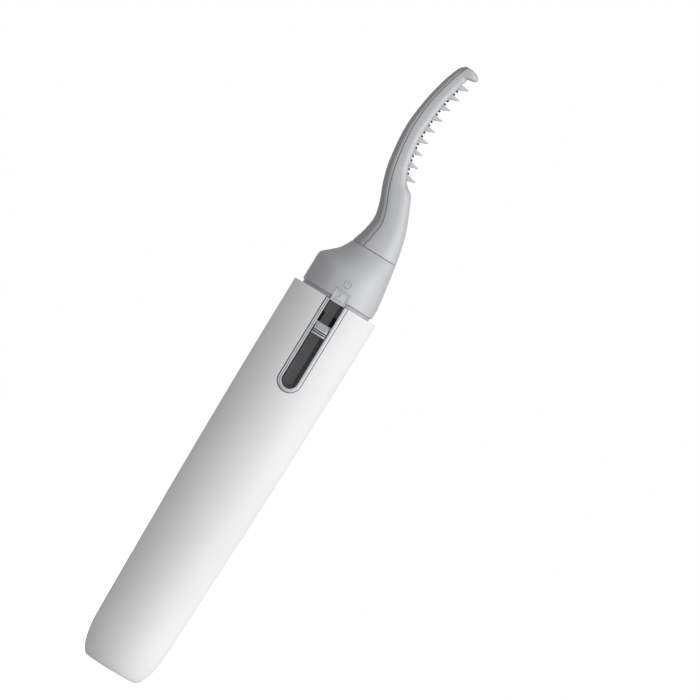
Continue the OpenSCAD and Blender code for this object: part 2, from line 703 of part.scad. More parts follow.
// The wire runs up from one crimp, round the core and back down behind the comb to the other crimp
function channel_point(z, y, out = 0.24) = [curve(seam_edge, z) + out, y, z];
module heater_wire() {
    steps = 14;
    turns = floor((coil_z1 - coil_z0) / coil_pitch);
    coil_x = function(z) front_x(z) - coil_in;
    rise = [106.4:0.6:109.5];
    up = concat([[crimp_x, -crimp_y, crimp_z + crimp_len + 0.03], [crimp_x - 0.2, -crimp_y, 102.2],
                 [1.6, -0.72, 103.5], [0.1, -0.65, 105]],
                [for (z = rise) channel_point(z, -0.6 + 0.08 * (z - 106.4), 0.34 - 0.03 * (z - 106.4))],
                [[-3.3, -0.3, 110.0], [-2.8, -0.2, low_pass_z], [-1.75, -0.05, low_pass_z + 0.15]]);
    coil = [for (i = [0:turns * steps]) let (z = coil_z0 + coil_pitch * i / steps, a = 180 + 360 * i / steps)
        [coil_x(z) + coil_rx * cos(a), coil_ry * sin(a), z]];
    down = concat([[-2.5, 0, high_pass_z - 0.05], [-2.88, 0.04, high_pass_z - 0.02],
                   [-3.12, 0.1, high_pass_z - 0.25]],
                  [for (z = [129.8:-1:110]) channel_point(z, 0.25)],
                  [for (z = [109:-0.8:106.4]) channel_point(z, 0.45, 0.24 + 0.03 * (109 - z))],
                  [[0.1, 0.6, 105], [1.6, 0.7, 103.5], [crimp_x - 0.2, crimp_y, 102.2],
                   [crimp_x, crimp_y, crimp_z + crimp_len + 0.03]]);
    color([0.25, 0.22, 0.2]) wire(concat(up, coil, down), heat_wire_d / 2, 6);
}

module heater_crimps() {
    color(c_metal) for (y = [-crimp_y, crimp_y])
        translate([crimp_x, y, crimp_z]) cylinder(r = 0.45, h = crimp_len);
}

// Leads from the board, through the collar and up to the crimps
module lead(side) {
    wire([[0.9, side * 0.62, board_z1 + 0.03], [0.9, side * 0.62, 88], [0.9, side * 0.6, 91],
          [0.9, side * 0.6, 94], [0.92, side * 0.6, 96.6], [1.2, side * 0.64, 97.6],
          [2.1, side * 0.7, 98.5], [crimp_x - 0.1, crimp_y * side, 99],
          [crimp_x, crimp_y * side, crimp_z - 0.05]], lead_r);
}
module lead_wire_positive() {
    color([0.75, 0.1, 0.1]) lead(-1);
}
module lead_wire_negative() {
    color(c_black) lead(1);
}

// ---- screws ----

module screw(head_r, head_h, shank_r, len_) {
    difference() {
        union() {
            cylinder(r = shank_r, h = len_ + eps);
            translate([0, 0, len_]) cylinder(r = head_r, h = head_h);
        }
        for (a = [0, 90]) rotate(a) translate([-head_r * 0.6, -0.12, len_ + head_h * 0.5])
            cube([head_r * 1.2, 0.24, head_h]);
    }
}
module chassis_screws() {
    color(c_metal) for (p = boss_at)
        translate([p[0], -2.6, p[1]]) rotate([-90, 0, 0]) screw(0.95, 0.7, 0.48, boss_y + 2.62);
}
module collar_screw() {
    color(c_metal) translate([0, 4.6, screw_z]) rotate([-90, 0, 0]) screw(1.15, 0.33, 0.48, 2.47);
}
module head_screw() {
    color(c_metal) translate([head_screw_x, 0, 95.4]) rotate([180, 0, 0]) screw(1.1, 0.6, 0.48, 6.92);
}

battery_cover();
collar();
chassis();
front_panel();
switch_bezel();
switch_track();
switch_knob();
switch_shutter();
switch_carrier();
slide_switch_body();
slide_switch_lever();
circuit_board();
boost_chip();
power_inductor();
board_capacitors();
indicator_led();
indicator_lens();
battery_cell();
negative_spring();
negative_plate();
positive_plate();
return_strip();
head_housing();
head_back_cover();
lash_comb();
heater_core();
heater_wire();
heater_crimps();
lead_wire_positive();
lead_wire_negative();
chassis_screws();
collar_screw();
head_screw();
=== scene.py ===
"""Looks of a pen-shaped heated eyelash curler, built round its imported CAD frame.

Blender works in metres. The pen's sizes are given here in millimetres in the frame's own axes (+Z along the
pen, -Y the switch side, +X the comb side), and shaped() scales each finished mesh to metres once. The floor,
the lamps and the camera are given in metres.
"""

import json
import math

import bmesh
import bpy
from mathutils import Matrix, Vector


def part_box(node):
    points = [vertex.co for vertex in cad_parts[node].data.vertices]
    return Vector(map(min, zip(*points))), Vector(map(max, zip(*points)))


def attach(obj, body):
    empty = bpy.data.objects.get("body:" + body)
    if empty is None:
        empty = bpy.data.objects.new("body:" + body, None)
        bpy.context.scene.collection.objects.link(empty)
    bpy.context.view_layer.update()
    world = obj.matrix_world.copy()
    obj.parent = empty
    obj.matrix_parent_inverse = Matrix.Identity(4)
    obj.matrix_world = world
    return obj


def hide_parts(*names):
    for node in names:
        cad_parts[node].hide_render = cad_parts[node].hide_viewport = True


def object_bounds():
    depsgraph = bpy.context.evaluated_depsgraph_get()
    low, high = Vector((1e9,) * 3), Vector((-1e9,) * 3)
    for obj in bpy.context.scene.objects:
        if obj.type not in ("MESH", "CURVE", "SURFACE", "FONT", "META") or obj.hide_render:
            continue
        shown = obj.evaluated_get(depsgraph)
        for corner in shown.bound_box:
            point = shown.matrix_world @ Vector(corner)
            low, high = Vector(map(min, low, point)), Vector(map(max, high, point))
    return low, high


MM = 0.001
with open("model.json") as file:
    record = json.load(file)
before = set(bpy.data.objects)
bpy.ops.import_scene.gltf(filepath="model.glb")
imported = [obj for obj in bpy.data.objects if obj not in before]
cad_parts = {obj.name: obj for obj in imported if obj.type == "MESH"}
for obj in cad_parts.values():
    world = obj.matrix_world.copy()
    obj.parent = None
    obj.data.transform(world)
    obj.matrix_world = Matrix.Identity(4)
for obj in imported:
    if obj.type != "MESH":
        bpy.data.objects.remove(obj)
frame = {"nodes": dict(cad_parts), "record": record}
cad_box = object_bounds()


def node_box(name):
    """Lowest and highest corner of a CAD node, in millimetres."""
    low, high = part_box(name)
    return low / MM, high / MM


# ---- sizes, from the frame where it has them ----

SLEEVE_HIGH = node_box("battery_cover")[1]
BEZEL_LOW, BEZEL_HIGH = node_box("switch_bezel")
COLLAR_LOW, COLLAR_HIGH = node_box("collar")
KNOB_LOW, KNOB_HIGH = node_box("switch_knob")
LENS_LOW, LENS_HIGH = node_box("indicator_lens")
CRIMP_LOW, CRIMP_HIGH = node_box("heater_crimps")
TOTAL_H = cad_box[1].z / MM

# Sleeve
SLEEVE_H = SLEEVE_HIGH.z
SLEEVE_RIM_R = SLEEVE_HIGH.x
SLEEVE_END_R = 7.7
TAPER_POWER = 1.87
END_ROUND_H = 8
END_ROUND_D = 2.4
BORE = [(7.7, 56), (7.5, 56), (7.0, 9), (6.7, 5), (6.0, 2.2)]  # radius and height, from the top down
SLIP = 0.08  # gap round pieces that slide

# Switch window
BEZEL_HALF_W = BEZEL_HIGH.x
BEZEL_END_Z = BEZEL_LOW.z + BEZEL_HALF_W
BEZEL_TOP_Z = BEZEL_HIGH.z
BEZEL_BACK_Y = BEZEL_HIGH.y
BEZEL_PROUD = 0.1
WINDOW_HALF_W = 1.6
FLOOR_HALF_W = 0.83
TRACK_FACE_Y = node_box("switch_track")[0].y

# Collar
NECK_Z = 95
NECK_CX = 1.48
NECK_GAP = 0.14
BAND_R = 7.75
BAND_Z0 = 83.8
BAND_Z1 = 86.4
SPIGOT_R = 7.45
RIM_GROOVE_R = 7.4
SCREW_Z = 80.8

# Socket, screw and lead hole between the collar and the head
TENON_X = (-0.4, 4.6)
TENON_HALF = 2.6
TENON_Z0 = 91.2
TENON_FIT = 0.05
HEAD_SCREW_X = 3.4
LEAD_HOLE_X = 0.9
LEAD_HOLE_R = 1.2

# Head
SEAM_GAP = 0.05
SEAM_ROUND = 0.05
SLOPE_DROP = 0.2  # how far the back cover slopes down to its seam
HEAD_WALL = 0.9
CAVITY_Z0 = NECK_Z + 1.6
CAVITY_Z1 = 131.5
CHANNEL_Z0 = 107.5  # from here up the hollow is only a channel for the wires
CHANNEL_D = 0.45
CHANNEL_HALF_W = 1.0
GUARD_Z = 133  # where the comb's edge ends and the guard at the tip begins

# Comb and heater
GROOVE_D = 1.35
GROOVE_HALF_W = 1.95
GROOVE_Z0 = 109.6
GROOVE_Z1 = 132.0
RAIL_Z0 = node_box("lash_comb")[0].z
RAIL_Z1 = 131.7
ROW_Y = 1.55
ROW_T = 0.6
TEETH = 9
TOOTH_LOW_Z = 110.7
TOOTH_HIGH_Z = 130.9
TOOTH_LEN = 1.8
TOOTH_LEAN = 8
WIRE_R = 0.19
WIRE_PASSES = [((-3.55, 0, 110.3), 0.6, 2.5), ((-3.15, 0, 130.9), 0.4, 2)]  # start, radius and length
COIL_PITCH = 0.84
COIL_IN = 0.44
COIL_RX = 0.58
COIL_RY = 0.75
COIL_Z0 = 111.12
COIL_Z1 = 130.6

# Outlines of the head seen from the switch side, from back to comb: height, x
BACK_EDGE = [(95, -3.4), (98, -2.5), (101, -2.12), (104, -2.8), (108, -4.36), (112, -5.38),
             (119, -6.1), (125, -5.6), (130, -4.57), (133, -3.62), (134.3, -2.98), (135, -2.2)]
SEAM_EDGE = [(95, -1.3), (98, -0.7), (100.8, -0.45), (103.4, -1.15), (107.7, -2.9), (112.1, -4.1),
             (119, -4.95), (124.1, -4.78), (128.5, -3.98), (132.2, -2.97), (134.3, -2.28), (135, -1.85)]
COMB_EDGE = [(95, 6.36), (99, 5.45), (102.6, 4.3), (106.1, 2.75), (108.2, 1.72), (109.3, 0.3),
             (112, -1.22), (116.3, -2.25), (120.2, -2.5), (126.4, -2.0), (129.9, -1.28), (132.4, -0.72)]
GUARD_EDGE = [(133.05, -0.45), (133.25, 0.6), (133.5, 1.05), (133.9, 1.18), (134.3, 0.92),
              (134.75, 0.3), (135, -0.6)]
# The head's section: height and half size in y, height and exponent of its rounding
HALF_WIDTH = [(95, 4.7), (100, 4.0), (107, 3.35), (118, 3.1), (130, 2.8), (133, 2.7), (134.3, 2.6),
              (134.8, 2.45), (135, 2.15)]
SQUARENESS = [(95, 2.3), (104, 2.8), (110, 3.2), (135, 3)]
# Outlines of the collar: height and x of each side, height and half size in y
SHOULDER_LEFT = [(84, -7.72), (86.4, -7.74), (89.4, -7.72), (90.1, -7.45), (91.6, -5.8),
                 (92.7, -4.7), (94.2, -3.8), (95, -3.4)]
SHOULDER_RIGHT = [(84, 7.72), (86.4, 7.68), (89.3, 7.28), (92.2, 6.8), (95, 6.36)]
SHOULDER_HALF = [(84, 7.72), (86.4, 7.71), (88.8, 7.45), (91.5, 6.5), (95, 4.7)]


# ---- curves ----


def spread(low, high, count):
    """count + 1 even steps from low to high."""
    return [low + (high - low) * i / count for i in range(count + 1)]


def knot_slope(knots, i):
    """Slope at knot i, from its neighbours."""
    a = max(i - 1, 0)
    b = min(i + 1, len(knots) - 1)
    return (knots[b][1] - knots[a][1]) / (knots[b][0] - knots[a][0])


def curve(knots, z):
    """Smooth curve through the knots, at height z."""
    i = 0
    while i < len(knots) - 2 and z > knots[i + 1][0]:
        i += 1
    width = knots[i + 1][0] - knots[i][0]
    t = min(max((z - knots[i][0]) / width, 0), 1)
    h1 = 2 * t**3 - 3 * t**2 + 1
    h2 = t**3 - 2 * t**2 + t
    h3 = t**3 - t**2
    ends = h1 * knots[i][1] + (1 - h1) * knots[i + 1][1]
    return ends + width * (h2 * knot_slope(knots, i) + h3 * knot_slope(knots, i + 1))


def signed_pow(v, p):
    """Power p of the size of v, with the sign of v."""
    return math.copysign(abs(v) ** p, v)


def smooth_step(v, low, high):
    """0 below low, 1 above high, smooth between them."""
    t = min(max((v - low) / (high - low), 0), 1)
    return t * t * (3 - 2 * t)


def sleeve_radius(z):
    """Outer radius of the sleeve: a barrel-shaped taper, rounded at the flat end."""
    bulge = 1 - max(1 - z / SLEEVE_H, 0) ** TAPER_POWER
    radius = SLEEVE_END_R + (SLEEVE_RIM_R - SLEEVE_END_R) * bulge
    if z < END_ROUND_H:
        radius -= END_ROUND_D * (1 - math.sqrt(max(1 - (1 - z / END_ROUND_H) ** 2, 0)))
    return radius


def round_point(cx, a, b, n, degrees):
    """A point of a rounded section: centre cx, half sizes a and b, squareness n."""
    t = math.radians(degrees)
    return cx + a * signed_pow(math.cos(t), 2 / n), b * signed_pow(math.sin(t), 2 / n)


def front_x(z):
    """x of the head's comb side at height z."""
    return curve(COMB_EDGE if z < GUARD_Z else GUARD_EDGE, z)


def head_shape(z):
    """Centre, half size in x, half size in y and squareness of the head's section."""
    front, back = front_x(z), curve(BACK_EDGE, z)
    return (front + back) / 2, (front - back) / 2, curve(HALF_WIDTH, z), curve(SQUARENESS, z)


def head_point(z, degrees):
    """A point of the head's outside at height z, degrees round from the comb side."""
    return round_point(*head_shape(z), degrees)


def angle_at_x(z, x):
    """Degrees at which the head's section reaches x."""
    cx, a, _, n = head_shape(z)
    return math.degrees(math.acos(max(min(signed_pow((x - cx) / a, n / 2), 1), -1)))


def angle_at_y(z, y):
    """Degrees at which the head's section reaches y."""
    _, _, b, n = head_shape(z)
    return math.degrees(math.asin(min(y / b, 1) ** (n / 2)))


def head_rows():
    """Heights of the head's sections, closer together at the comb's groove and the tip."""
    low = [NECK_Z + NECK_GAP, NECK_Z + NECK_GAP + 0.06] + spread(NECK_Z + 0.4, 109.2, 44)
    groove_start = [GROOVE_Z0 - 0.05, GROOVE_Z0 + 0.05]
    middle = spread(GROOVE_Z0 + 0.3, GROOVE_Z1 - 0.3, 60)
    groove_end = [GROOVE_Z1 - 0.05, GROOVE_Z1 + 0.05]
    tip = [132.3, 132.6, 132.85, 133.05, 133.15, 133.25, 133.35, 133.5, 133.65, 133.85, 134.05, 134.3,
           134.5, 134.65, 134.78, 134.88, 134.95, TOTAL_H]
    return low + groove_start + middle + groove_end + tip


# ---- mesh tools ----


def link(data, name):
    """A new object in the scene, with this mesh, light or camera."""
    thing = bpy.data.objects.new(name, data)
    bpy.context.scene.collection.objects.link(thing)
    return thing


def solid(name, points, faces, weld=False):
    """An object from points in millimetres, faces outwards. weld merges points that lie on each other."""
    mesh = bpy.data.meshes.new(name)
    mesh.from_pydata(points, [], faces)
    work = bmesh.new()
    work.from_mesh(mesh)
    if weld:
        bmesh.ops.remove_doubles(work, verts=work.verts, dist=1e-4)
    bmesh.ops.recalc_face_normals(work, faces=work.faces)
    work.to_mesh(mesh)
    work.free()
    return link(mesh, name)


def ring_faces(count, first, second, closed=True):
    """Quads between two rows of count points that start at the indices first and second."""
    last = count if closed else count - 1
    return [(first + i, first + (i + 1) % count, second + (i + 1) % count, second + i) for i in range(last)]


def loft(name, rings):
    """A closed solid through rings with the same count of points."""
    count = len(rings[0])
    points = [p for ring in rings for p in ring]
    faces = [f for j in range(len(rings) - 1) for f in ring_faces(count, j * count, (j + 1) * count)]
    faces.append(tuple(range(count)))
    faces.append(tuple((len(rings) - 1) * count + i for i in range(count)))
    return solid(name, points, faces)


def apply_modifiers(thing):
    """Makes the result of a thing's modifiers its mesh."""
    evaluated = thing.evaluated_get(bpy.context.evaluated_depsgraph_get())
    mesh = bpy.data.meshes.new_from_object(evaluated)
    thing.modifiers.clear()
    thing.data = mesh


def combine(thing, other, operation):
    """Joins or cuts thing with other, and removes other."""
    modifier = thing.modifiers.new("combine", "BOOLEAN")
    modifier.operation = operation
    modifier.solver = "EXACT"
    modifier.use_self = operation == "UNION"
    modifier.object = other
    apply_modifiers(thing)
    bpy.data.objects.remove(other)


def block(x, y, z):
    """Scratch box for cutting and joining, from its ranges in x, y and z."""
    points = [(a, b, c) for a in x for b in y for c in z]
    faces = [(0, 1, 3, 2), (4, 6, 7, 5), (0, 4, 5, 1), (2, 3, 7, 6), (0, 2, 6, 4), (1, 5, 7, 3)]
    return solid("block", points, faces)


def rod(base, axis, radius, length, sides=48):
    """Scratch cylinder for cutting, from the centre of its base along axis."""
    turn = Vector((0, 0, 1)).rotation_difference(Vector(axis)).to_matrix()
    rings = []
    for height in (0, length):
        angles = [2 * math.pi * i / sides for i in range(sides)]
        ring = [Vector((radius * math.cos(a), radius * math.sin(a), height)) for a in angles]
        rings.append([tuple(turn @ p + Vector(base)) for p in ring])
    return loft("rod", rings)


def tube_rings(path, radius, sides):
    """Rings square to a path. Each turns with the path as little as it can."""
    points = [Vector(p) for p in path]
    rings = []
    across = Vector((0, 1, 0.01))
    for i, p in enumerate(points):
        ahead = (points[min(i + 1, len(points) - 1)] - points[max(i - 1, 0)]).normalized()
        across = (across - across.dot(ahead) * ahead).normalized()
        other = ahead.cross(across)
        angles = [2 * math.pi * k / sides for k in range(sides)]
        rings.append([tuple(p + radius * (math.cos(a) * across + math.sin(a) * other)) for a in angles])
    return rings


def joined(name, things):
    """One object with the meshes of several, as separate closed shells."""
    work = bmesh.new()
    for thing in things:
        work.from_mesh(thing.data)
        bpy.data.objects.remove(thing)
    mesh = bpy.data.meshes.new(name)
    work.to_mesh(mesh)
    work.free()
    return link(mesh, name)


def shaped(thing, name, body, slot, nodes=(), crease=38):
    """Finishes a piece: metres, smooth shading with creases, its body, slot and the nodes it replaces."""
    thing.name = name
    thing.data.name = name
    thing.data.transform(Matrix.Scale(MM, 4))
    thing.data.shade_smooth()
    thing.data.set_sharp_from_angle(angle=math.radians(crease))
    thing.data.materials.clear()
    thing.data.materials.append(SURFACES[slot])
    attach(thing, body)
    if nodes:
        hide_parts(*nodes)
    return thing


# ---- materials ----


def calculate(tree, operation, a, b):
    """Output of a Math node in a node tree. a and b are numbers or outputs of other nodes."""
    node = tree.nodes.new("ShaderNodeMath")
    node.operation = operation
    for socket, value in zip(node.inputs, (a, b)):
        if isinstance(value, (int, float)):
            socket.default_value = value
        else:
            tree.links.new(value, socket)
    return node.outputs["Value"]


class Paint:
    """A Principled material with procedural detail in the object's own coordinates."""

    def __init__(self, name, **sockets):
        self.material = bpy.data.materials.new(name)
        self.material.use_nodes = True
        self.nodes = self.material.node_tree.nodes
        self.links = self.material.node_tree.links
        self.shader = self.nodes["Principled BSDF"]
        self.place = self.nodes.new("ShaderNodeTexCoord").outputs["Object"]
        for socket, value in sockets.items():
            self.shader.inputs[socket.replace("_", " ")].default_value = value

    def noise(self, size, detail, stretch=(1, 1, 1)):
        """Noise about size millimetres across, longer along an axis with a stretch below 1."""
        mapping = self.nodes.new("ShaderNodeMapping")
        mapping.inputs["Scale"].default_value = [s / (size * MM) for s in stretch]
        self.links.new(self.place, mapping.inputs["Vector"])
        noise = self.nodes.new("ShaderNodeTexNoise")
        noise.inputs["Scale"].default_value = 1.0
        noise.inputs["Detail"].default_value = detail
        self.links.new(mapping.outputs["Vector"], noise.inputs["Vector"])
        return noise.outputs["Fac"]

    def cells(self, size):
        """A random value for each cell, about size millimetres across."""
        cells = self.nodes.new("ShaderNodeTexVoronoi")
        cells.inputs["Scale"].default_value = 1 / (size * MM)
        self.links.new(self.place, cells.inputs["Vector"])
        return cells.outputs["Color"]

    def range(self, value, low, high, start=0.3, end=0.7):
        """value from start to end, mapped to low to high."""
        node = self.nodes.new("ShaderNodeMapRange")
        node.inputs["From Min"].default_value = start
        node.inputs["From Max"].default_value = end
        node.inputs["To Min"].default_value = low
        node.inputs["To Max"].default_value = high
        self.links.new(value, node.inputs["Value"])
        return node.outputs["Result"]

    def math(self, operation, a, b):
        """Output of a Math node."""
        return calculate(self.material.node_tree, operation, a, b)

    def mix(self, factor, a, b):
        """Colour a where factor is 0 and b where it is 1. Each is a tuple or another node's output."""
        node = self.nodes.new("ShaderNodeMix")
        node.data_type = "RGBA"
        self.links.new(factor, node.inputs["Factor"])
        for socket, value in ((node.inputs["A"], a), (node.inputs["B"], b)):
            if isinstance(value, tuple):
                socket.default_value = (*value, 1)
            else:
                self.links.new(value, socket)
        return node.outputs["Result"]

    def axis(self, letter):
        """The object's own x, y or z in metres."""
        split = self.nodes.new("ShaderNodeSeparateXYZ")
        self.links.new(self.place, split.inputs["Vector"])
        return split.outputs[letter]

    def colour(self, value):
        """Sets the base colour from an output."""
        self.links.new(value, self.shader.inputs["Base Color"])

    def rough(self, value):
        """Sets the roughness from an output."""
        self.links.new(value, self.shader.inputs["Roughness"])

    def bump(self, value, height):
        """Bump with a height in millimetres."""
        node = self.nodes.new("ShaderNodeBump")
        node.inputs["Strength"].default_value = 1.0
        node.inputs["Distance"].default_value = height * MM
        self.links.new(value, node.inputs["Height"])
        self.links.new(node.outputs["Normal"], self.shader.inputs["Normal"])


def tinted(colour, gain):
    """A lighter or darker shade of a colour."""
    return tuple(min(c * gain, 1) for c in colour)


def moulded(name, colour, rough, grain, height, **sockets):
    """Moulded plastic or rubber: fine grain, with its size and height, faint flow marks and uneven gloss."""
    paint = Paint(name, **sockets)
    flow = paint.noise(9, 2, (1, 1, 0.4))
    paint.colour(paint.mix(paint.range(flow, 0, 1), tinted(colour, 0.97), tinted(colour, 1.02)))
    paint.rough(paint.range(paint.noise(3.5, 4), rough - 0.04, rough + 0.05))
    paint.bump(paint.noise(grain, 2), height)
    return paint.material


def plated(name, colour, rough, scratch=(1, 1, 0.05), **sockets):
    """Plated or bare metal: fine scratches along one axis, small stains and uneven gloss."""
    paint = Paint(name, Metallic=1.0, **sockets)
    stain = paint.noise(2.5, 5)
    paint.colour(paint.mix(paint.range(stain, 0, 1, 0.35, 0.75), colour, tinted(colour, 0.86)))
    lines = paint.noise(0.09, 3, scratch)
    paint.rough(paint.range(lines, rough * 0.7, rough * 1.5))
    paint.bump(lines, 0.0012)
    return paint.material


def flaked(name, colour, rough):
    """Silver lacquer: fine flake under a clear coat, with slight orange peel."""
    paint = Paint(name, Metallic=0.62, Coat_Weight=0.2, Coat_Roughness=0.3)
    flake = paint.range(paint.cells(0.06), 0, 1, 0.0, 1.0)
    cloud = paint.range(paint.noise(5, 3), 0, 1)
    sparkle = paint.mix(flake, tinted(colour, 0.975), tinted(colour, 1.025))
    paint.colour(paint.mix(paint.math("MULTIPLY", cloud, 0.5), sparkle, tinted(colour, 0.975)))
    paint.rough(paint.range(flake, rough - 0.02, rough + 0.02, 0, 1))
    paint.bump(paint.noise(0.8, 2), 0.0015)
    return paint.material


def frosted(name):
    """Milky clear acrylic, cloudier in places."""
    paint = Paint(name, Transmission_Weight=0.2, IOR=1.46)
    cloud = paint.range(paint.noise(0.8, 3), 0, 1)
    paint.colour(paint.mix(cloud, (0.74, 0.75, 0.76), (0.68, 0.69, 0.70)))
    paint.rough(paint.range(paint.noise(0.5, 2), 0.26, 0.36))
    paint.bump(paint.noise(0.4, 2), 0.002)
    return paint.material


def smoked(name):
    """Deep glossy dark plastic with hairline rub marks along the pen."""
    paint = Paint(name, Coat_Weight=0.6, Coat_Roughness=0.05)
    rub = paint.noise(0.12, 3, (1, 1, 0.03))
    paint.colour(paint.mix(paint.range(rub, 0, 1), (0.028, 0.029, 0.031), (0.04, 0.041, 0.044)))
    paint.rough(paint.range(rub, 0.12, 0.24))
    paint.bump(rub, 0.001)
    return paint.material


def circuit(name):
    """Green solder mask over a faint copper pattern and glass weave."""
    paint = Paint(name, Coat_Weight=0.4, Coat_Roughness=0.15)
    tracks = paint.range(paint.cells(1.6), 0, 1, 0.45, 0.5)
    weave = paint.noise(0.25, 1, (1, 1, 0.3))
    mask = paint.mix(paint.range(weave, 0, 1), (0.014, 0.11, 0.045), (0.02, 0.135, 0.06))
    paint.colour(paint.mix(tracks, mask, (0.035, 0.2, 0.085)))
    paint.rough(paint.range(weave, 0.28, 0.4))
    paint.bump(tracks, 0.02)
    return paint.material


def fired(name, dark, light, rough, grain=0.14, detail=6, height=0.02):
    """Fired ceramic or ferrite: pressed grain with small pits and dusty high spots."""
    paint = Paint(name)
    grit = paint.noise(grain, detail)
    paint.colour(paint.mix(paint.range(grit, 0, 1), dark, light))
    paint.rough(paint.range(grit, rough - 0.1, rough + 0.1))
    paint.bump(grit, height)
    return paint.material


def resin(name):
    """Lamp: clear resin over yellow phosphor."""
    paint = Paint(name, Coat_Weight=0.8, Coat_Roughness=0.08, Subsurface_Weight=0.2)
    speck = paint.noise(0.1, 3)
    paint.colour(paint.mix(paint.range(speck, 0, 1), (0.86, 0.74, 0.32), (0.92, 0.86, 0.6)))
    paint.rough(paint.range(speck, 0.2, 0.35))
    return paint.material


def cell_label(name):
    """Shrink sleeve on the cell: a dark field and a copper band, with the bare steel button above."""
    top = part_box("battery_cell")[1].z
    band_h, button_h = 13 * MM, 1.7 * MM  # each from the cell's top
    paint = Paint(name, Coat_Weight=0.5, Coat_Roughness=0.12)
    z = paint.axis("Z")
    crinkle = paint.noise(1.4, 4, (1, 1, 0.25))
    field = paint.mix(paint.range(crinkle, 0, 1), (0.018, 0.03, 0.055), (0.03, 0.046, 0.08))
    band = paint.math("GREATER_THAN", z, top - band_h)
    steel = paint.math("GREATER_THAN", z, top - button_h)
    printed = paint.mix(band, field, (0.62, 0.30, 0.11))
    paint.colour(paint.mix(steel, printed, (0.62, 0.61, 0.58)))
    paint.links.new(paint.math("MAXIMUM", steel, paint.math("MULTIPLY", band, 0.6)),
                    paint.shader.inputs["Metallic"])
    paint.rough(paint.range(crinkle, 0.2, 0.34))
    paint.bump(crinkle, 0.02)
    return paint.material


WHITE = (0.80, 0.80, 0.81)
SILVER = (0.52, 0.525, 0.54)
# darker silver: print on the power mark, and on the head's back cover a second paint that is also painted
# shade for the side facing away from the light
DARK_GREY_AND_PAINTED_SHADE = (0.41, 0.415, 0.425)

SURFACES = {
    "white_sleeve": moulded("satin_white", WHITE, 0.42, 0.14, 0.003, Coat_Weight=0.12, Coat_Roughness=0.35),
    "silver_paint": flaked("silver_lacquer", SILVER, 0.5),
    # darker copy of the silver lacquer: print on the power mark, and painted shade together with a second
    # paint on the back cover
    "grey_paint": flaked("dark_lacquer_and_painted_shade", DARK_GREY_AND_PAINTED_SHADE, 0.5),
    "white_frame": moulded("matt_white", (0.72, 0.72, 0.70), 0.58, 0.2, 0.006),
    "chrome_trim": plated("chrome_plate", (0.50, 0.51, 0.53), 0.09),
    "smoked_gloss": smoked("smoked_plastic"),
    "black_plastic": moulded("matt_black", (0.022, 0.022, 0.023), 0.5, 0.18, 0.005),
    "board_green": circuit("solder_mask"),
    "ferrite_grey": fired("pressed_ferrite", (0.0375, 0.0375, 0.04125), (0.0625, 0.0625, 0.06875), 0.6),
    "capacitor_tan": fired("capacitor_body", (0.40, 0.27, 0.15), (0.54, 0.39, 0.24), 0.45, 0.12, 4, 0.008),
    "led_resin": resin("lamp_resin"),
    "frosted_clear": frosted("frosted_acrylic"),
    "cell_label": cell_label("cell_label"),
    "contact_steel": plated("nickel_plate", (0.62, 0.60, 0.56), 0.24),
    "brass_strip": plated("rolled_brass", (0.74, 0.55, 0.24), 0.26),
    "heater_ceramic": fired("heater_ceramic", (0.03375, 0.03, 0.02775), (0.05625, 0.05, 0.04625), 0.75),
    "heating_wire": plated("oxidised_wire", (0.035, 0.03, 0.028), 0.42, (1, 1, 1)),
    "red_insulation": moulded("red_silicone", (0.50, 0.025, 0.02), 0.48, 0.1, 0.004),
    "black_insulation": moulded("black_silicone", (0.018, 0.018, 0.019), 0.48, 0.1, 0.004),
    "screw_steel": plated("zinc_plate", (0.56, 0.57, 0.60), 0.3, (0.2, 1, 1)),
}


# ---- sleeve ----


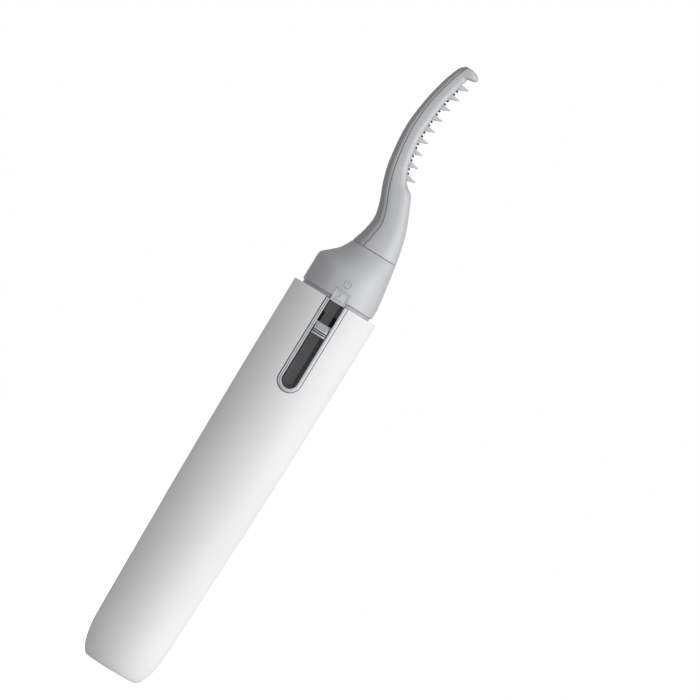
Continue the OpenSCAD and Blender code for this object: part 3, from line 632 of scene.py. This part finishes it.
def battery_cover():
    """White sleeve: one closed shell, with the bezel's slot open at the rim."""
    half = 72  # points in half a row
    fillet = 0.12
    rim = 0.15
    end_shares = (0.3, 0.6, 0.85, 1)  # rows across the flat end
    slot_out = BEZEL_HALF_W + SLIP + fillet
    slot_in = BEZEL_HALF_W + SLIP
    arc = [math.radians(a) for a in range(6, 91, 6)]
    straight = spread(BEZEL_END_Z + 1.3, SLEEVE_H - 1, 11)
    points, faces = [], []

    def row(radius, z, half_w=None):
        """Adds a row round the sleeve, closed or open at the slot. Gives its first index and which it is."""
        first = len(points)
        edge = math.asin(half_w / radius) if half_w else 0
        for i in range(2 * half + (1 if half_w else 0)):
            u = i / half if i <= half else (2 * half - i) / half
            angle = math.pi * u + edge * (1 - u) ** 4
            side = 1 if i <= half else -1
            points.append((side * radius * math.sin(angle), -radius * math.cos(angle), z))
        return first, half_w is None

    def band(a, b):
        """Faces between two rows."""
        count = 2 * half
        for i in range(count):
            a1 = a[0] + ((i + 1) % count if a[1] else i + 1)
            b1 = b[0] + ((i + 1) % count if b[1] else i + 1)
            faces.append((a[0] + i, a1, b1, b[0] + i))

    def wall_side(slot, radius_of, rim_rows):
        """Rows along the slot: its lowest point, the round end, the straight edges and the rim."""
        rows = [(radius_of(BEZEL_END_Z - slot), BEZEL_END_Z - slot, None)]
        rows += [(radius_of(BEZEL_END_Z - slot * math.cos(a)), BEZEL_END_Z - slot * math.cos(a),
                  slot * math.sin(a)) for a in arc]
        rows += [(radius_of(z), z, slot) for z in straight]
        return rows + [(r, z, slot) for r, z in rim_rows]

    outer_rim = [(SLEEVE_RIM_R, SLEEVE_H - rim), (SLEEVE_RIM_R - 0.02, SLEEVE_H - 0.075),
                 (SLEEVE_RIM_R - 0.075, SLEEVE_H - 0.02), (SLEEVE_RIM_R - rim, SLEEVE_H)]
    bore_r = BORE[0][0]
    inner_rim = [(bore_r, SLEEVE_H - rim), (bore_r + 0.02, SLEEVE_H - 0.075),
                 (bore_r + 0.05, SLEEVE_H - 0.03), (bore_r + 0.1, SLEEVE_H)]
    low = [(sleeve_radius(0) * share, 0) for share in end_shares]
    heights = [END_ROUND_H * (1 - math.sin(math.radians(a))) for a in range(85, -1, -5)]
    heights += spread(END_ROUND_H + 2, BEZEL_END_Z - slot_out - 1, 26)
    low += [(sleeve_radius(z), z) for z in heights]
    outer = wall_side(slot_out, sleeve_radius, outer_rim)
    inner = wall_side(slot_in, lambda z: bore_r, inner_rim)
    floor_z = BORE[-1][1]
    bore = BORE + [(4, floor_z), (2, floor_z)]

    stages = (low, outer, inner, bore)
    low_rows, outer_rows, inner_rows, bore_rows = ([row(*place) for place in stage] for stage in stages)
    chain = low_rows + outer_rows + inner_rows[::-1] + bore_rows
    for a, b in zip(chain, chain[1:]):
        band(a, b)
    for first, z in ((low_rows[0][0], 0), (bore_rows[-1][0], floor_z)):
        points.append((0, 0, z))
        faces.extend((len(points) - 1, first + i, first + (i + 1) % (2 * half)) for i in range(2 * half))

    def slot_wall(side, column):
        """Faces of one side of the slot, with a small rounding at the outside."""
        edges = [[rows[0][0]] + [first + column for first, _ in rows[1:]]
                 for rows in (outer_rows, inner_rows)]
        loops = [edges[0]]
        for degrees in (30, 60, 90):
            turn = math.radians(degrees)
            slot = slot_out - fillet * math.sin(turn)
            loop = []
            for j, (radius, z, _) in enumerate(outer):
                r = radius - fillet * (1 - math.cos(turn))
                angle = 0 if j == 0 else (arc[j - 1] if j <= len(arc) else math.pi / 2)
                x = slot * math.sin(angle)
                z = BEZEL_END_Z - slot * math.cos(angle) if j <= len(arc) else z
                points.append((side * x, -math.sqrt(r * r - x * x), z))
                loop.append(len(points) - 1)
            loops.append(loop)
        loops.append(edges[1])
        for a, b in zip(loops, loops[1:]):
            faces.extend((a[j], a[j + 1], b[j + 1], b[j]) for j in range(len(a) - 1))
        faces.append(tuple(loop[-1] for loop in loops))

    slot_wall(1, 0)
    slot_wall(-1, 2 * half)
    cover = solid("sleeve", points, faces, weld=True)
    return shaped(cover, "sleeve_shell", "sleeve", "white_sleeve", ["battery_cover"])


# ---- collar ----


def collar_section(z):
    """Centre, half size to the left and to the right, half depth and squareness of the outside."""
    cx = NECK_CX * smooth_step(z, BAND_Z1, NECK_Z)
    blend = smooth_step(z, BAND_Z1 - 0.3, BAND_Z1 + 0.5)
    reaches = (cx - curve(SHOULDER_LEFT, z), curve(SHOULDER_RIGHT, z) - cx, curve(SHOULDER_HALF, z))
    left, right, half_w = (BAND_R * (1 - blend) + reach * blend for reach in reaches)
    return cx, left, right, half_w, 2 + max(z - BAND_Z1, 0) * 0.03


def collar_front_y(x, z):
    """y of the collar's front at x and height z."""
    cx, left, right, b, n = collar_section(z)
    a = left if x < cx else right
    return -b * (1 - abs((x - cx) / a) ** n) ** (1 / n)


def collar():
    """Silver collar: a spigot in the sleeve, a dark groove, a round band and a shoulder up to the neck."""
    sides = 144
    edge = 0.1
    cavity_r, cavity_top = 6.6, 88.5
    groove_half_depth = 6.85

    def ring(z, inset=0.0, section=None):
        """A ring of the outside, or of another section, drawn in by inset."""
        cx, left, right, b, n = section or collar_section(z)
        row = []
        for i in range(sides):
            degrees = 360 * (i + 0.5) / sides
            a = left if 90 < degrees < 270 else right
            row.append((*round_point(cx, a - inset, b - inset, n, degrees), z))
        return row

    spigot = (0, SPIGOT_R, SPIGOT_R, SPIGOT_R, 2)
    # deeper in front and behind, so that it looks dark there
    recess = (0, RIM_GROOVE_R, RIM_GROOVE_R, groove_half_depth, 2)
    rings = [ring(COLLAR_LOW.z, 0.2, spigot), ring(COLLAR_LOW.z + 0.2, 0, spigot),
             ring(SLEEVE_H - 0.02, 0, spigot), ring(SLEEVE_H, 0, recess), ring(BAND_Z0 - 0.02, 0, recess),
             ring(BAND_Z0, edge), ring(BAND_Z0 + edge * 0.3, edge * 0.3), ring(BAND_Z0 + edge)]
    # closer together round the shoulder's corner
    corner_low, corner_high = 89.2, 91
    heights = spread(BAND_Z0 + 0.4, corner_low, 22) + spread(corner_low + 0.15, corner_high, 15)
    heights += spread(corner_high + 0.2, NECK_Z - 0.25, 18)
    rings += [ring(z) for z in heights]
    # at the neck the collar steps in under the head, so that the seam reads as a dark line
    step_x, step_y = 1 / 300, 0.9
    neck = ring(NECK_Z, 0.05)
    step = [(x * (1 - abs(x) * step_x), y * step_y, z) for x, y, z in neck]
    rings += [ring(NECK_Z - 0.1), ring(NECK_Z - 0.03, 0.02), neck, step,
              [(x, y, COLLAR_HIGH.z) for x, y, _ in step]]
    body = loft("collar", rings)

    up, back = (0, 0, 1), (0, 1, 0)
    low_z, inside_y, outside_y = COLLAR_LOW.z - 1, -5, -9
    bezel_half, track_half, guide_half = 2.6, 1.75, 0.75
    lens_gap = 0.03
    tenon_x = (TENON_X[0] - TENON_FIT, TENON_X[1] + TENON_FIT)
    tenon_half = TENON_HALF + TENON_FIT
    hollows = [rod((0, 0, low_z), up, cavity_r, cavity_top - low_z, 96),
               block((-bezel_half, bezel_half), (outside_y, inside_y), (low_z, SLEEVE_H + 0.02)),
               block((-track_half, track_half), (-7.2, inside_y), (SLEEVE_H, SLEEVE_H + 1.2))]
    lens_seats = [block((LENS_LOW.x - lens_gap, LENS_HIGH.x + lens_gap), (outside_y, -7.4),
                        (LENS_LOW.z - 0.1, LENS_HIGH.z + lens_gap)),
                  block((-guide_half, guide_half), (-8, inside_y), (83.85, 85.45))]
    head_seats = [block(tenon_x, (-tenon_half, tenon_half), (TENON_Z0 - 0.1, NECK_Z + 1)),
                  rod((HEAD_SCREW_X, 0, cavity_top - 1), up, 0.75, 5),
                  rod((LEAD_HOLE_X, 0, cavity_top - 1), up, LEAD_HOLE_R, 5)]
    screw_seats = [rod((0, 6, SCREW_Z), back, 0.6, 3), rod((0, 7.05, SCREW_Z), back, 1.25, 2)]
    for cut in hollows + lens_seats + head_seats + screw_seats:
        combine(body, cut, "DIFFERENCE")
    return shaped(body, "collar_shell", "core", "silver_paint", ["collar"], 30)


def power_mark():
    """Plain power mark above the arrow, a bead that stands out of the collar: a broken ring and a bar."""
    centre_z, ring_r = 87.1, 0.72
    bead_r, sunk = 0.1, 0.03
    gap = 38  # degrees from the bar to each end of the ring
    arc = [math.radians(90 + a) for a in range(gap, 361 - gap, 6)]
    ring = [(ring_r * math.cos(a), centre_z + ring_r * math.sin(a)) for a in arc]
    bar = [(0, z) for z in spread(centre_z + 0.08, centre_z + ring_r + 0.12, 5)]
    beads = []
    for path in (ring, bar):
        on_face = [(x, collar_front_y(x, z) + sunk, z) for x, z in path]
        beads.append(loft("bead", tube_rings(on_face, bead_r, 10)))
    return shaped(joined("mark", beads), "power_mark", "core", "grey_paint")


# ---- head ----


def mirrored(half):
    """The other side of an outline whose first point is on the middle plane."""
    return half + [(x, -y) for x, y in half[:0:-1]]


def seam_corner(z, seam, side, lower=0.0):
    """Small rounding where the outside meets the seam; side is +1 on the housing and -1 on the cover."""
    y = head_point(z, angle_at_x(z, seam))[1] - lower
    return [(seam + side * SEAM_ROUND * 0.3, y - SEAM_ROUND * 0.25), (seam, y - SEAM_ROUND)]


def cavity_depth(z):
    """How deep the hollow is that the back cover closes."""
    if z < CAVITY_Z0 or z > CAVITY_Z1:
        return 0.06
    if z < CHANNEL_Z0:
        return curve(COMB_EDGE, z) - curve(SEAM_EDGE, z) - HEAD_WALL - 0.4
    return CHANNEL_D


def housing_section(z):
    """Section of the head housing: the comb side or its groove, the outside, the seam and the hollow."""
    seam = curve(SEAM_EDGE, z) + SEAM_GAP / 2
    grooved = GROOVE_Z0 < z < GROOVE_Z1
    plain_front = 22  # degrees that the comb side takes up where it has no groove
    t_front = angle_at_y(z, GROOVE_HALF_W) if grooved else plain_front
    t_seam = angle_at_x(z, seam + SEAM_ROUND)
    fractions = (0, 0.25, 0.5, 0.75, 0.98)
    if grooved:
        front = [(front_x(z) - GROOVE_D, f * GROOVE_HALF_W) for f in fractions]
    else:
        front = [head_point(z, t_front * f * 0.95) for f in fractions]
    side = [head_point(z, t) for t in spread(t_front, t_seam, 30)]
    cavity_half = curve(HALF_WIDTH, z) - HEAD_WALL - 0.9 if z < CHANNEL_Z0 else CHANNEL_HALF_W
    back = []
    for degrees in range(90, 0, -10):
        t = math.radians(degrees)
        x = seam + cavity_depth(z) * math.sqrt(max(math.cos(t), 0))
        back.append((x, cavity_half * math.sqrt(math.sin(t))))
    return mirrored(front + side + seam_corner(z, seam, 1) + back)


def head_housing():
    """Silver half of the head, with the tenon that stands in the collar."""
    rings = [[(x, y, z) for x, y in housing_section(z)] for z in head_rows()]
    body = loft("housing", rings)
    combine(body, block(TENON_X, (-TENON_HALF, TENON_HALF), (TENON_Z0, NECK_Z + 0.5)), "UNION")
    up, forward = (0, 0, 1), (1, 0, 0)
    cuts = [rod((HEAD_SCREW_X, 0, TENON_Z0 - 1), up, 0.5, 5.4),
            rod((LEAD_HOLE_X, 0, TENON_Z0 - 1), up, LEAD_HOLE_R, 7.5)]
    cuts += [rod(start, forward, radius, length) for start, radius, length in WIRE_PASSES]
    for cut in cuts:
        combine(body, cut, "DIFFERENCE")
    return shaped(body, "head_shell", "core", "silver_paint", ["head_housing"], 32)


def cover_section(z):
    """Outside of the back cover, with a groove and a band that slopes down to the seam on each side."""
    seam = curve(SEAM_EDGE, z) - SEAM_GAP / 2
    back = curve(BACK_EDGE, z)
    line_at = 0.42  # share of the way from the seam to the back
    line_x = seam - line_at * (seam - back)
    line_w = 0.09 * smooth_step(TOTAL_H - z, 0, 1.5)
    line_d = 0.08 * smooth_step(z, 97, 108) * smooth_step(TOTAL_H - z, 0, 1.5)
    before = [head_point(z, 180 - t) for t in spread(0, 180 - angle_at_x(z, line_x - line_w), 22)]
    slope_d = SLOPE_DROP * (1.15 - 0.15 * smooth_step(z, 100, 112)) * smooth_step(TOTAL_H - z, 0, 3)
    steps = 8
    after = []
    for i, t in enumerate(spread(angle_at_x(z, line_x + line_w), angle_at_x(z, seam - SEAM_ROUND), steps)):
        x, y = head_point(z, t)
        after.append((x, y - slope_d * i / steps))
    x, y = head_point(z, angle_at_x(z, line_x))
    outside = before + [(x, y - line_d)] + after
    return mirrored(outside + seam_corner(z, seam, -1, slope_d))


def head_back_cover():
    """Back cover of the head, in the darker lacquer: a second paint that is also painted shade for this
    side, which faces away from the key light.
    """
    rings = [[(x, y, z) for x, y in cover_section(z)] for z in head_rows()]
    return shaped(loft("cover", rings), "head_cover", "core", "grey_paint", ["head_back_cover"], 30)


# ---- comb and heater ----


def tooth(z, y, lean):
    """A pointed tooth, oval in section, that leans up by lean degrees."""
    buried = 0.3
    sides = 14
    forward = Vector((math.cos(math.radians(lean)), 0, math.sin(math.radians(lean))))
    upward = Vector((-forward.z, 0, forward.x))
    root = Vector((front_x(z) - buried, y, z))
    # distance from the root and half thickness, of a tooth that would come to a point at full_len
    full_len, flatness = 2.4, 0.5
    profile = [(0, 0.6), (0.3, 0.575), (0.5, 0.55), (0.9, 0.44), (1.3, 0.335), (1.7, 0.235), (2.05, 0.15),
               (2.25, 0.1), (2.35, 0.05)]
    rings = []
    for along, half_t in profile:
        centre = root + forward * (along * (TOOTH_LEN + buried) / full_len)
        ring = []
        for k in range(sides):
            a = 2 * math.pi * k / sides
            offset = upward * (half_t * math.sin(a)) + Vector((0, half_t * flatness * math.cos(a), 0))
            ring.append(tuple(centre + offset))
        rings.append(ring)
    return loft("tooth", rings)


def lash_comb():
    """Frosted comb: a rail and a row of teeth on each side of the coil, joined by a bridge at each end."""
    pieces = []
    rail_half, rail_inset = ROW_T / 2, 0.15
    soft = 0.12
    for side in (-1, 1):
        rings = []
        for z in spread(RAIL_Z0, RAIL_Z1, 56):
            x1, x0 = front_x(z) - rail_inset, front_x(z) - GROOVE_D + rail_inset
            y0, y1 = side * ROW_Y - rail_half, side * ROW_Y + rail_half
            rings.append([(x0, y0, z), (x1 - soft, y0, z), (x1 - soft * 0.3, y0 + soft * 0.3, z),
                          (x1, y0 + soft, z), (x1, y1 - soft, z), (x1 - soft * 0.3, y1 - soft * 0.3, z),
                          (x1 - soft, y1, z), (x0, y1, z)])
        pieces.append(loft("rail", rings))
        for i, z in enumerate(spread(TOOTH_LOW_Z, TOOTH_HIGH_Z, TEETH - 1)):
            pieces.append(tooth(z, side * ROW_Y, TOOTH_LEAN * (i / (TEETH - 1) + 0.15)))
    bridge_h, bridge_out, bridge_in = 0.7, 0.4, 0.85
    for z in (RAIL_Z0, RAIL_Z1 - bridge_h):
        x = front_x(z + bridge_h / 2)
        pieces.append(block((x - bridge_in, x - bridge_out), (-ROW_Y, ROW_Y), (z, z + bridge_h)))
    last = pieces.pop()
    comb = joined("comb", pieces)
    combine(comb, last, "UNION")
    return shaped(comb, "comb_teeth", "core", "frosted_clear", ["lash_comb"], 40)


def heater_wire():
    """One wire: up from a crimp, round the core turn by turn, and back down behind the comb."""
    crimp_x, crimp_y = (CRIMP_LOW.x + CRIMP_HIGH.x) / 2, 0.75
    crimp_top = CRIMP_HIGH.z + 0.03
    steps = 24  # points in one turn
    turns = math.floor((COIL_Z1 - COIL_Z0) / COIL_PITCH)

    def behind(z, y, out=0.24):
        """A point of the hollow behind the comb, this far in from the seam."""
        return curve(SEAM_EDGE, z) + out, y, z

    up = [(crimp_x, -crimp_y, crimp_top), (crimp_x - 0.2, -crimp_y, 102.2), (1.6, -0.72, 103.5),
          (0.1, -0.65, 105)]
    up += [behind(z, -0.6 + 0.08 * (z - 106.4), 0.34 - 0.03 * (z - 106.4)) for z in spread(106.4, 109.4, 5)]
    up += [(-3.3, -0.3, 110.0), (-2.8, -0.2, 110.3), (-1.75, -0.05, 110.45)]
    coil = []
    for i in range(turns * steps + 1):
        z = COIL_Z0 + COIL_PITCH * i / steps
        a = math.pi + 2 * math.pi * i / steps
        coil.append((front_x(z) - COIL_IN + COIL_RX * math.cos(a), COIL_RY * math.sin(a), z))
    down = [(-2.5, 0, 130.85), (-2.88, 0.04, 130.88), (-3.12, 0.1, 130.65)]
    down += [behind(z, 0.25) for z in spread(129.8, 110.8, 19)]
    down += [behind(z, 0.45, 0.24 + 0.03 * (109 - z)) for z in spread(109, 106.6, 3)]
    down += [(0.1, 0.6, 105), (1.6, 0.7, 103.5), (crimp_x - 0.2, crimp_y, 102.2),
             (crimp_x, crimp_y, crimp_top)]
    wire = loft("wire", tube_rings(up + coil + down, WIRE_R, 12))
    return shaped(wire, "heating_coil", "core", "heating_wire", ["heater_wire"], 50)


# ---- switch ----


def switch_bezel():
    """Chrome frame: a rounded rim that follows the sleeve, and walls that slope down to the track."""
    outer_round = 0.1
    inner_round = 0.18
    flat_in, dish = 0.28, 0.015
    back_half = 1.9
    # round the window from its top right to its top left: a side's height, or the round end's angle
    stations = [("straight", 1, z) for z in spread(BEZEL_TOP_Z, BEZEL_END_Z + 0.6, 14)]
    stations += [("arc", 1, math.radians(a)) for a in range(90, -91, -6)]
    stations += [("straight", -1, z) for z in spread(BEZEL_END_Z + 0.6, BEZEL_TOP_Z, 14)]
    rim = [(BEZEL_HALF_W, outer_round), (BEZEL_HALF_W - outer_round * 0.3, outer_round * 0.3),
           (BEZEL_HALF_W - outer_round, 0), (BEZEL_HALF_W - flat_in, -dish),
           (WINDOW_HALF_W + flat_in, -dish), (WINDOW_HALF_W + inner_round, 0),
           (WINDOW_HALF_W + inner_round * 0.3, inner_round * 0.3), (WINDOW_HALF_W, inner_round)]
    low_y = TRACK_FACE_Y - 0.015
    sunk = [(FLOOR_HALF_W + 0.05, low_y - 0.12), (FLOOR_HALF_W, low_y), (back_half, low_y),
            (back_half, BEZEL_BACK_Y), (BEZEL_HALF_W, BEZEL_BACK_Y)]

    def place(station, half_w, top_z):
        """x and z of a point of the frame's section, half_w out from the window's middle line."""
        kind, side, value = station
        if kind == "arc":
            return half_w * math.sin(value), BEZEL_END_Z - half_w * math.cos(value)
        return side * half_w, min(value, top_z)

    rings = []
    for station in stations:
        ring = []
        for half_w, drop in rim:
            x, z = place(station, half_w, BEZEL_TOP_Z)
            face_r = sleeve_radius(z) + BEZEL_PROUD
            ring.append((x, -math.sqrt(face_r**2 - x * x) + drop, z))
        for half_w, y in sunk:
            x, z = place(station, half_w, BEZEL_TOP_Z if half_w > WINDOW_HALF_W else LENS_LOW.z - 0.06)
            ring.append((x, y, z))
        rings.append(ring)
    return shaped(loft("bezel", rings), "bezel_frame", "core", "chrome_trim", ["switch_bezel"], 36)


def switch_knob():
    """Chrome slider: three ridges for the nail, then a facet that slopes away towards the arrow."""
    z0, z1 = KNOB_LOW.z, KNOB_HIGH.z
    face_y, back_y = KNOB_LOW.y, TRACK_FACE_Y - 0.07
    top_half, low_half = WINDOW_HALF_W - 0.14, FLOOR_HALF_W - 0.08
    valleys = (z0 + 0.5, z0 + 0.9)
    valley_half, valley_depth = 0.12, 0.36
    ridge_top, facet_slope = z0 + 1.1, 0.72
    stem_half = 0.5

    def face(z):
        """y of the knob's face at height z."""
        if z > ridge_top:
            return face_y + max(z - ridge_top - 0.08, 0) * facet_slope
        nearest = min(abs(z - v) for v in valleys)
        return face_y + valley_depth * max(1 - nearest / valley_half, 0)

    rings = []
    grip = [v + side * valley_half for v in valleys for side in (-1, 0, 1)]
    rows = [z0, z0 + 0.06, z0 + 0.2] + grip + spread(ridge_top, z1 - 0.04, 12) + [z1]
    for z in rows:
        y = face(z)
        if z in (z0, z1):
            y += 0.06
        ring = [(low_half, back_y, z), (top_half, y + 0.14, z), (top_half - 0.03, y + 0.05, z),
                (top_half - 0.1, y, z), (top_half * 0.5, y - 0.005, z)]
        rings.append(ring + [(-x, b, c) for x, b, c in reversed(ring)])
    knob = loft("knob", rings)
    middle = (z0 + z1) / 2
    stem = block((-stem_half, stem_half), (back_y - 0.05, KNOB_HIGH.y), (middle - 0.6, middle + 0.6))
    combine(knob, stem, "UNION")
    return shaped(knob, "slider_knob", "slider", "chrome_trim", ["switch_knob"], 40)


def indicator_lens():
    """Frosted window over the lamp: a raised border, a raised arrow, and a light guide behind."""
    front_r = -LENS_LOW.y - 0.2
    half_w = LENS_HIGH.x
    z0, z1 = LENS_LOW.z, LENS_HIGH.z
    columns, rows = 64, 54
    back_y = -7.42
    border_h, border_w0, border_w1 = 0.16, 0.22, 0.4
    edge_round, edge_w = 0.06, 0.1
    apex, base, base_half, arrow_taper = z1 - 0.42, z0 + 0.5, 0.95, 0.62
    guide_half, guide_z = 0.7, (z0 + 1.05, z1 - 0.25)
    points, faces = [], []
    for z in spread(z0, z1, rows):
        for x in spread(-half_w, half_w, columns):
            edge = min(half_w - abs(x), z - z0, z1 - z)
            border = border_h * (1 - smooth_step(edge, border_w0, border_w1))
            rounding = edge_round * (1 - smooth_step(edge, 0, edge_w))
            points.append((x, -math.sqrt(front_r**2 - x * x) - border + rounding, z))
    width = columns + 1
    for j in range(rows):
        faces.extend(ring_faces(width, j * width, (j + 1) * width, closed=False))
    # the four sides and the back
    outline = list(range(columns)) + [j * width + columns for j in range(rows)]
    outline += [rows * width + i for i in range(columns, 0, -1)] + [j * width for j in range(rows, 0, -1)]
    first = len(points)
    points.extend((points[i][0], back_y, points[i][2]) for i in outline)
    for k, i in enumerate(outline):
        after = (k + 1) % len(outline)
        faces.append((i, outline[after], first + after, first + k))
    faces.append(tuple(range(first, first + len(outline))))
    lens = solid("lens", points, faces)

    middle = base + (apex - base) / 3
    rings = []
    for size, y in ((1, back_y - 0.05), (1, -front_r - 0.02), (arrow_taper, LENS_LOW.y)):
        corners = ((-base_half, base), (base_half, base), (0, apex))
        rings.append([(x * size, y, middle + (z - middle) * size) for x, z in corners])
    combine(lens, loft("arrow", rings), "UNION")
    combine(lens, block((-guide_half, guide_half), (back_y - 0.05, LENS_HIGH.y), guide_z), "UNION")
    return shaped(lens, "lamp_window", "core", "frosted_clear", ["indicator_lens"], 15)


# ---- CAD pieces that stay ----


def dress_cad_nodes():
    """Gives every CAD node the material of its slot."""
    for part in frame["record"]["subparts"]:
        thing = frame["nodes"][part["node"]]
        surface = SURFACES[part["material_slot"]]
        if not thing.material_slots:
            thing.data.materials.append(surface)
        for entry in thing.material_slots:
            entry.material = surface


# ---- stage, light and camera ----


def stage_floor():
    """Pale floor that the pen stands on, slightly lit from within so that it stays near white."""
    half_side, below = 1.2, 0.00002
    work = bmesh.new()
    bmesh.ops.create_grid(work, x_segments=24, y_segments=24, size=half_side)
    mesh = bpy.data.meshes.new("floor")
    work.to_mesh(mesh)
    work.free()
    floor = link(mesh, "floor")
    floor.location = (0, 0, -below)
    paint = Paint("pale_floor", Roughness=0.9, Emission_Strength=0.8)
    paint.shader.inputs["Emission Color"].default_value = (1, 1, 1, 1)
    grain = paint.noise(40, 2)
    paint.colour(paint.mix(paint.range(grain, 0, 1), (0.86, 0.86, 0.86), (0.88, 0.88, 0.88)))
    mesh.materials.append(paint.material)
    floor.visible_diffuse = False
    floor.visible_glossy = False


def area_light(name, at, aim, size, power):
    """A soft area light that points from at to aim. size is its width and height."""
    data = bpy.data.lights.new(name, "AREA")
    data.energy = power
    data.shape = "RECTANGLE"
    data.size, data.size_y = size
    lamp = link(data, name)
    lamp.location = at
    lamp.rotation_mode = "QUATERNION"
    lamp.rotation_quaternion = (Vector(aim) - Vector(at)).to_track_quat("-Z", "Y")
    return lamp


def studio_world():
    """White behind the object. As a light it is an even grey with soft lobes."""
    even = 0.37
    lobes = [((0.9, -0.43, 0.15), 1.09),  # from the right, a little in front
             ((0, -0.85, 0.52), 0.42),  # from above in front
             ((0.8, 0.6, 0), 0.35)]  # from behind on the right
    world = bpy.data.worlds.new("studio")
    world.use_nodes = True
    nodes, links = world.node_tree.nodes, world.node_tree.links
    nodes.clear()
    direction = nodes.new("ShaderNodeTexCoord").outputs["Generated"]

    def lobe(towards, strength):
        """Light that falls off as the squared cosine from its direction."""
        dot = nodes.new("ShaderNodeVectorMath")
        dot.operation = "DOT_PRODUCT"
        links.new(direction, dot.inputs[0])
        dot.inputs[1].default_value = Vector(towards).normalized()
        facing = calculate(world.node_tree, "MAXIMUM", dot.outputs["Value"], 0.0)
        squared = calculate(world.node_tree, "POWER", facing, 2.0)
        return calculate(world.node_tree, "MULTIPLY", squared, strength)

    total = even
    for towards, strength in lobes:
        total = calculate(world.node_tree, "ADD", lobe(towards, strength), total)
    shown, lighting = nodes.new("ShaderNodeBackground"), nodes.new("ShaderNodeBackground")
    shown.inputs["Color"].default_value = (1, 1, 1, 1)
    lighting.inputs["Color"].default_value = (1, 1, 1, 1)
    links.new(total, lighting.inputs["Strength"])
    path = nodes.new("ShaderNodeLightPath")
    mix = nodes.new("ShaderNodeMixShader")
    out = nodes.new("ShaderNodeOutputWorld")
    links.new(path.outputs["Is Camera Ray"], mix.inputs["Fac"])
    links.new(lighting.outputs["Background"], mix.inputs[1])
    links.new(shown.outputs["Background"], mix.inputs[2])
    links.new(mix.outputs["Shader"], out.inputs["Surface"])
    bpy.context.scene.world = world


def lights():
    """A large key light on the right, and a strip on the left that shows only in reflections."""
    middle = (0, 0, 0.07)
    area_light("key", (0.75, -0.42, 0.22), middle, (0.55, 0.55), 0.31)
    strip = area_light("left_strip", (-0.5, -0.75, 0.1), middle, (0.12, 0.7), 0.35)
    strip.visible_diffuse = False


def camera():
    """Level view of the switch side, rolled so that the pen leans to the upper right."""
    swing, roll = math.radians(-3), math.radians(31.5)
    aim_across, aim_up = 0.00728, 0.07664
    width_seen, lens, sensor = 0.1352, 400, 36
    flat = Vector((math.cos(swing), math.sin(swing), 0))
    back = Vector((math.sin(swing), -math.cos(swing), 0))
    rise = Vector((0, 0, 1))
    right = flat * math.cos(roll) + rise * math.sin(roll)
    up = rise * math.cos(roll) - flat * math.sin(roll)
    data = bpy.data.cameras.new("camera")
    data.lens = lens
    data.sensor_width = sensor
    data.clip_start = 0.05
    data.clip_end = 10
    view = link(data, "camera")
    turn = Matrix((right, up, back)).transposed().to_4x4()
    at = flat * aim_across + rise * aim_up + back * (width_seen * lens / sensor)
    view.matrix_world = Matrix.Translation(at) @ turn
    bpy.context.scene.camera = view


bpy.context.scene.view_settings.view_transform = "Standard"
camera()
studio_world()
lights()
stage_floor()
dress_cad_nodes()
battery_cover()
collar()
power_mark()
head_housing()
head_back_cover()
lash_comb()
heater_wire()
switch_bezel()
switch_knob()
indicator_lens()
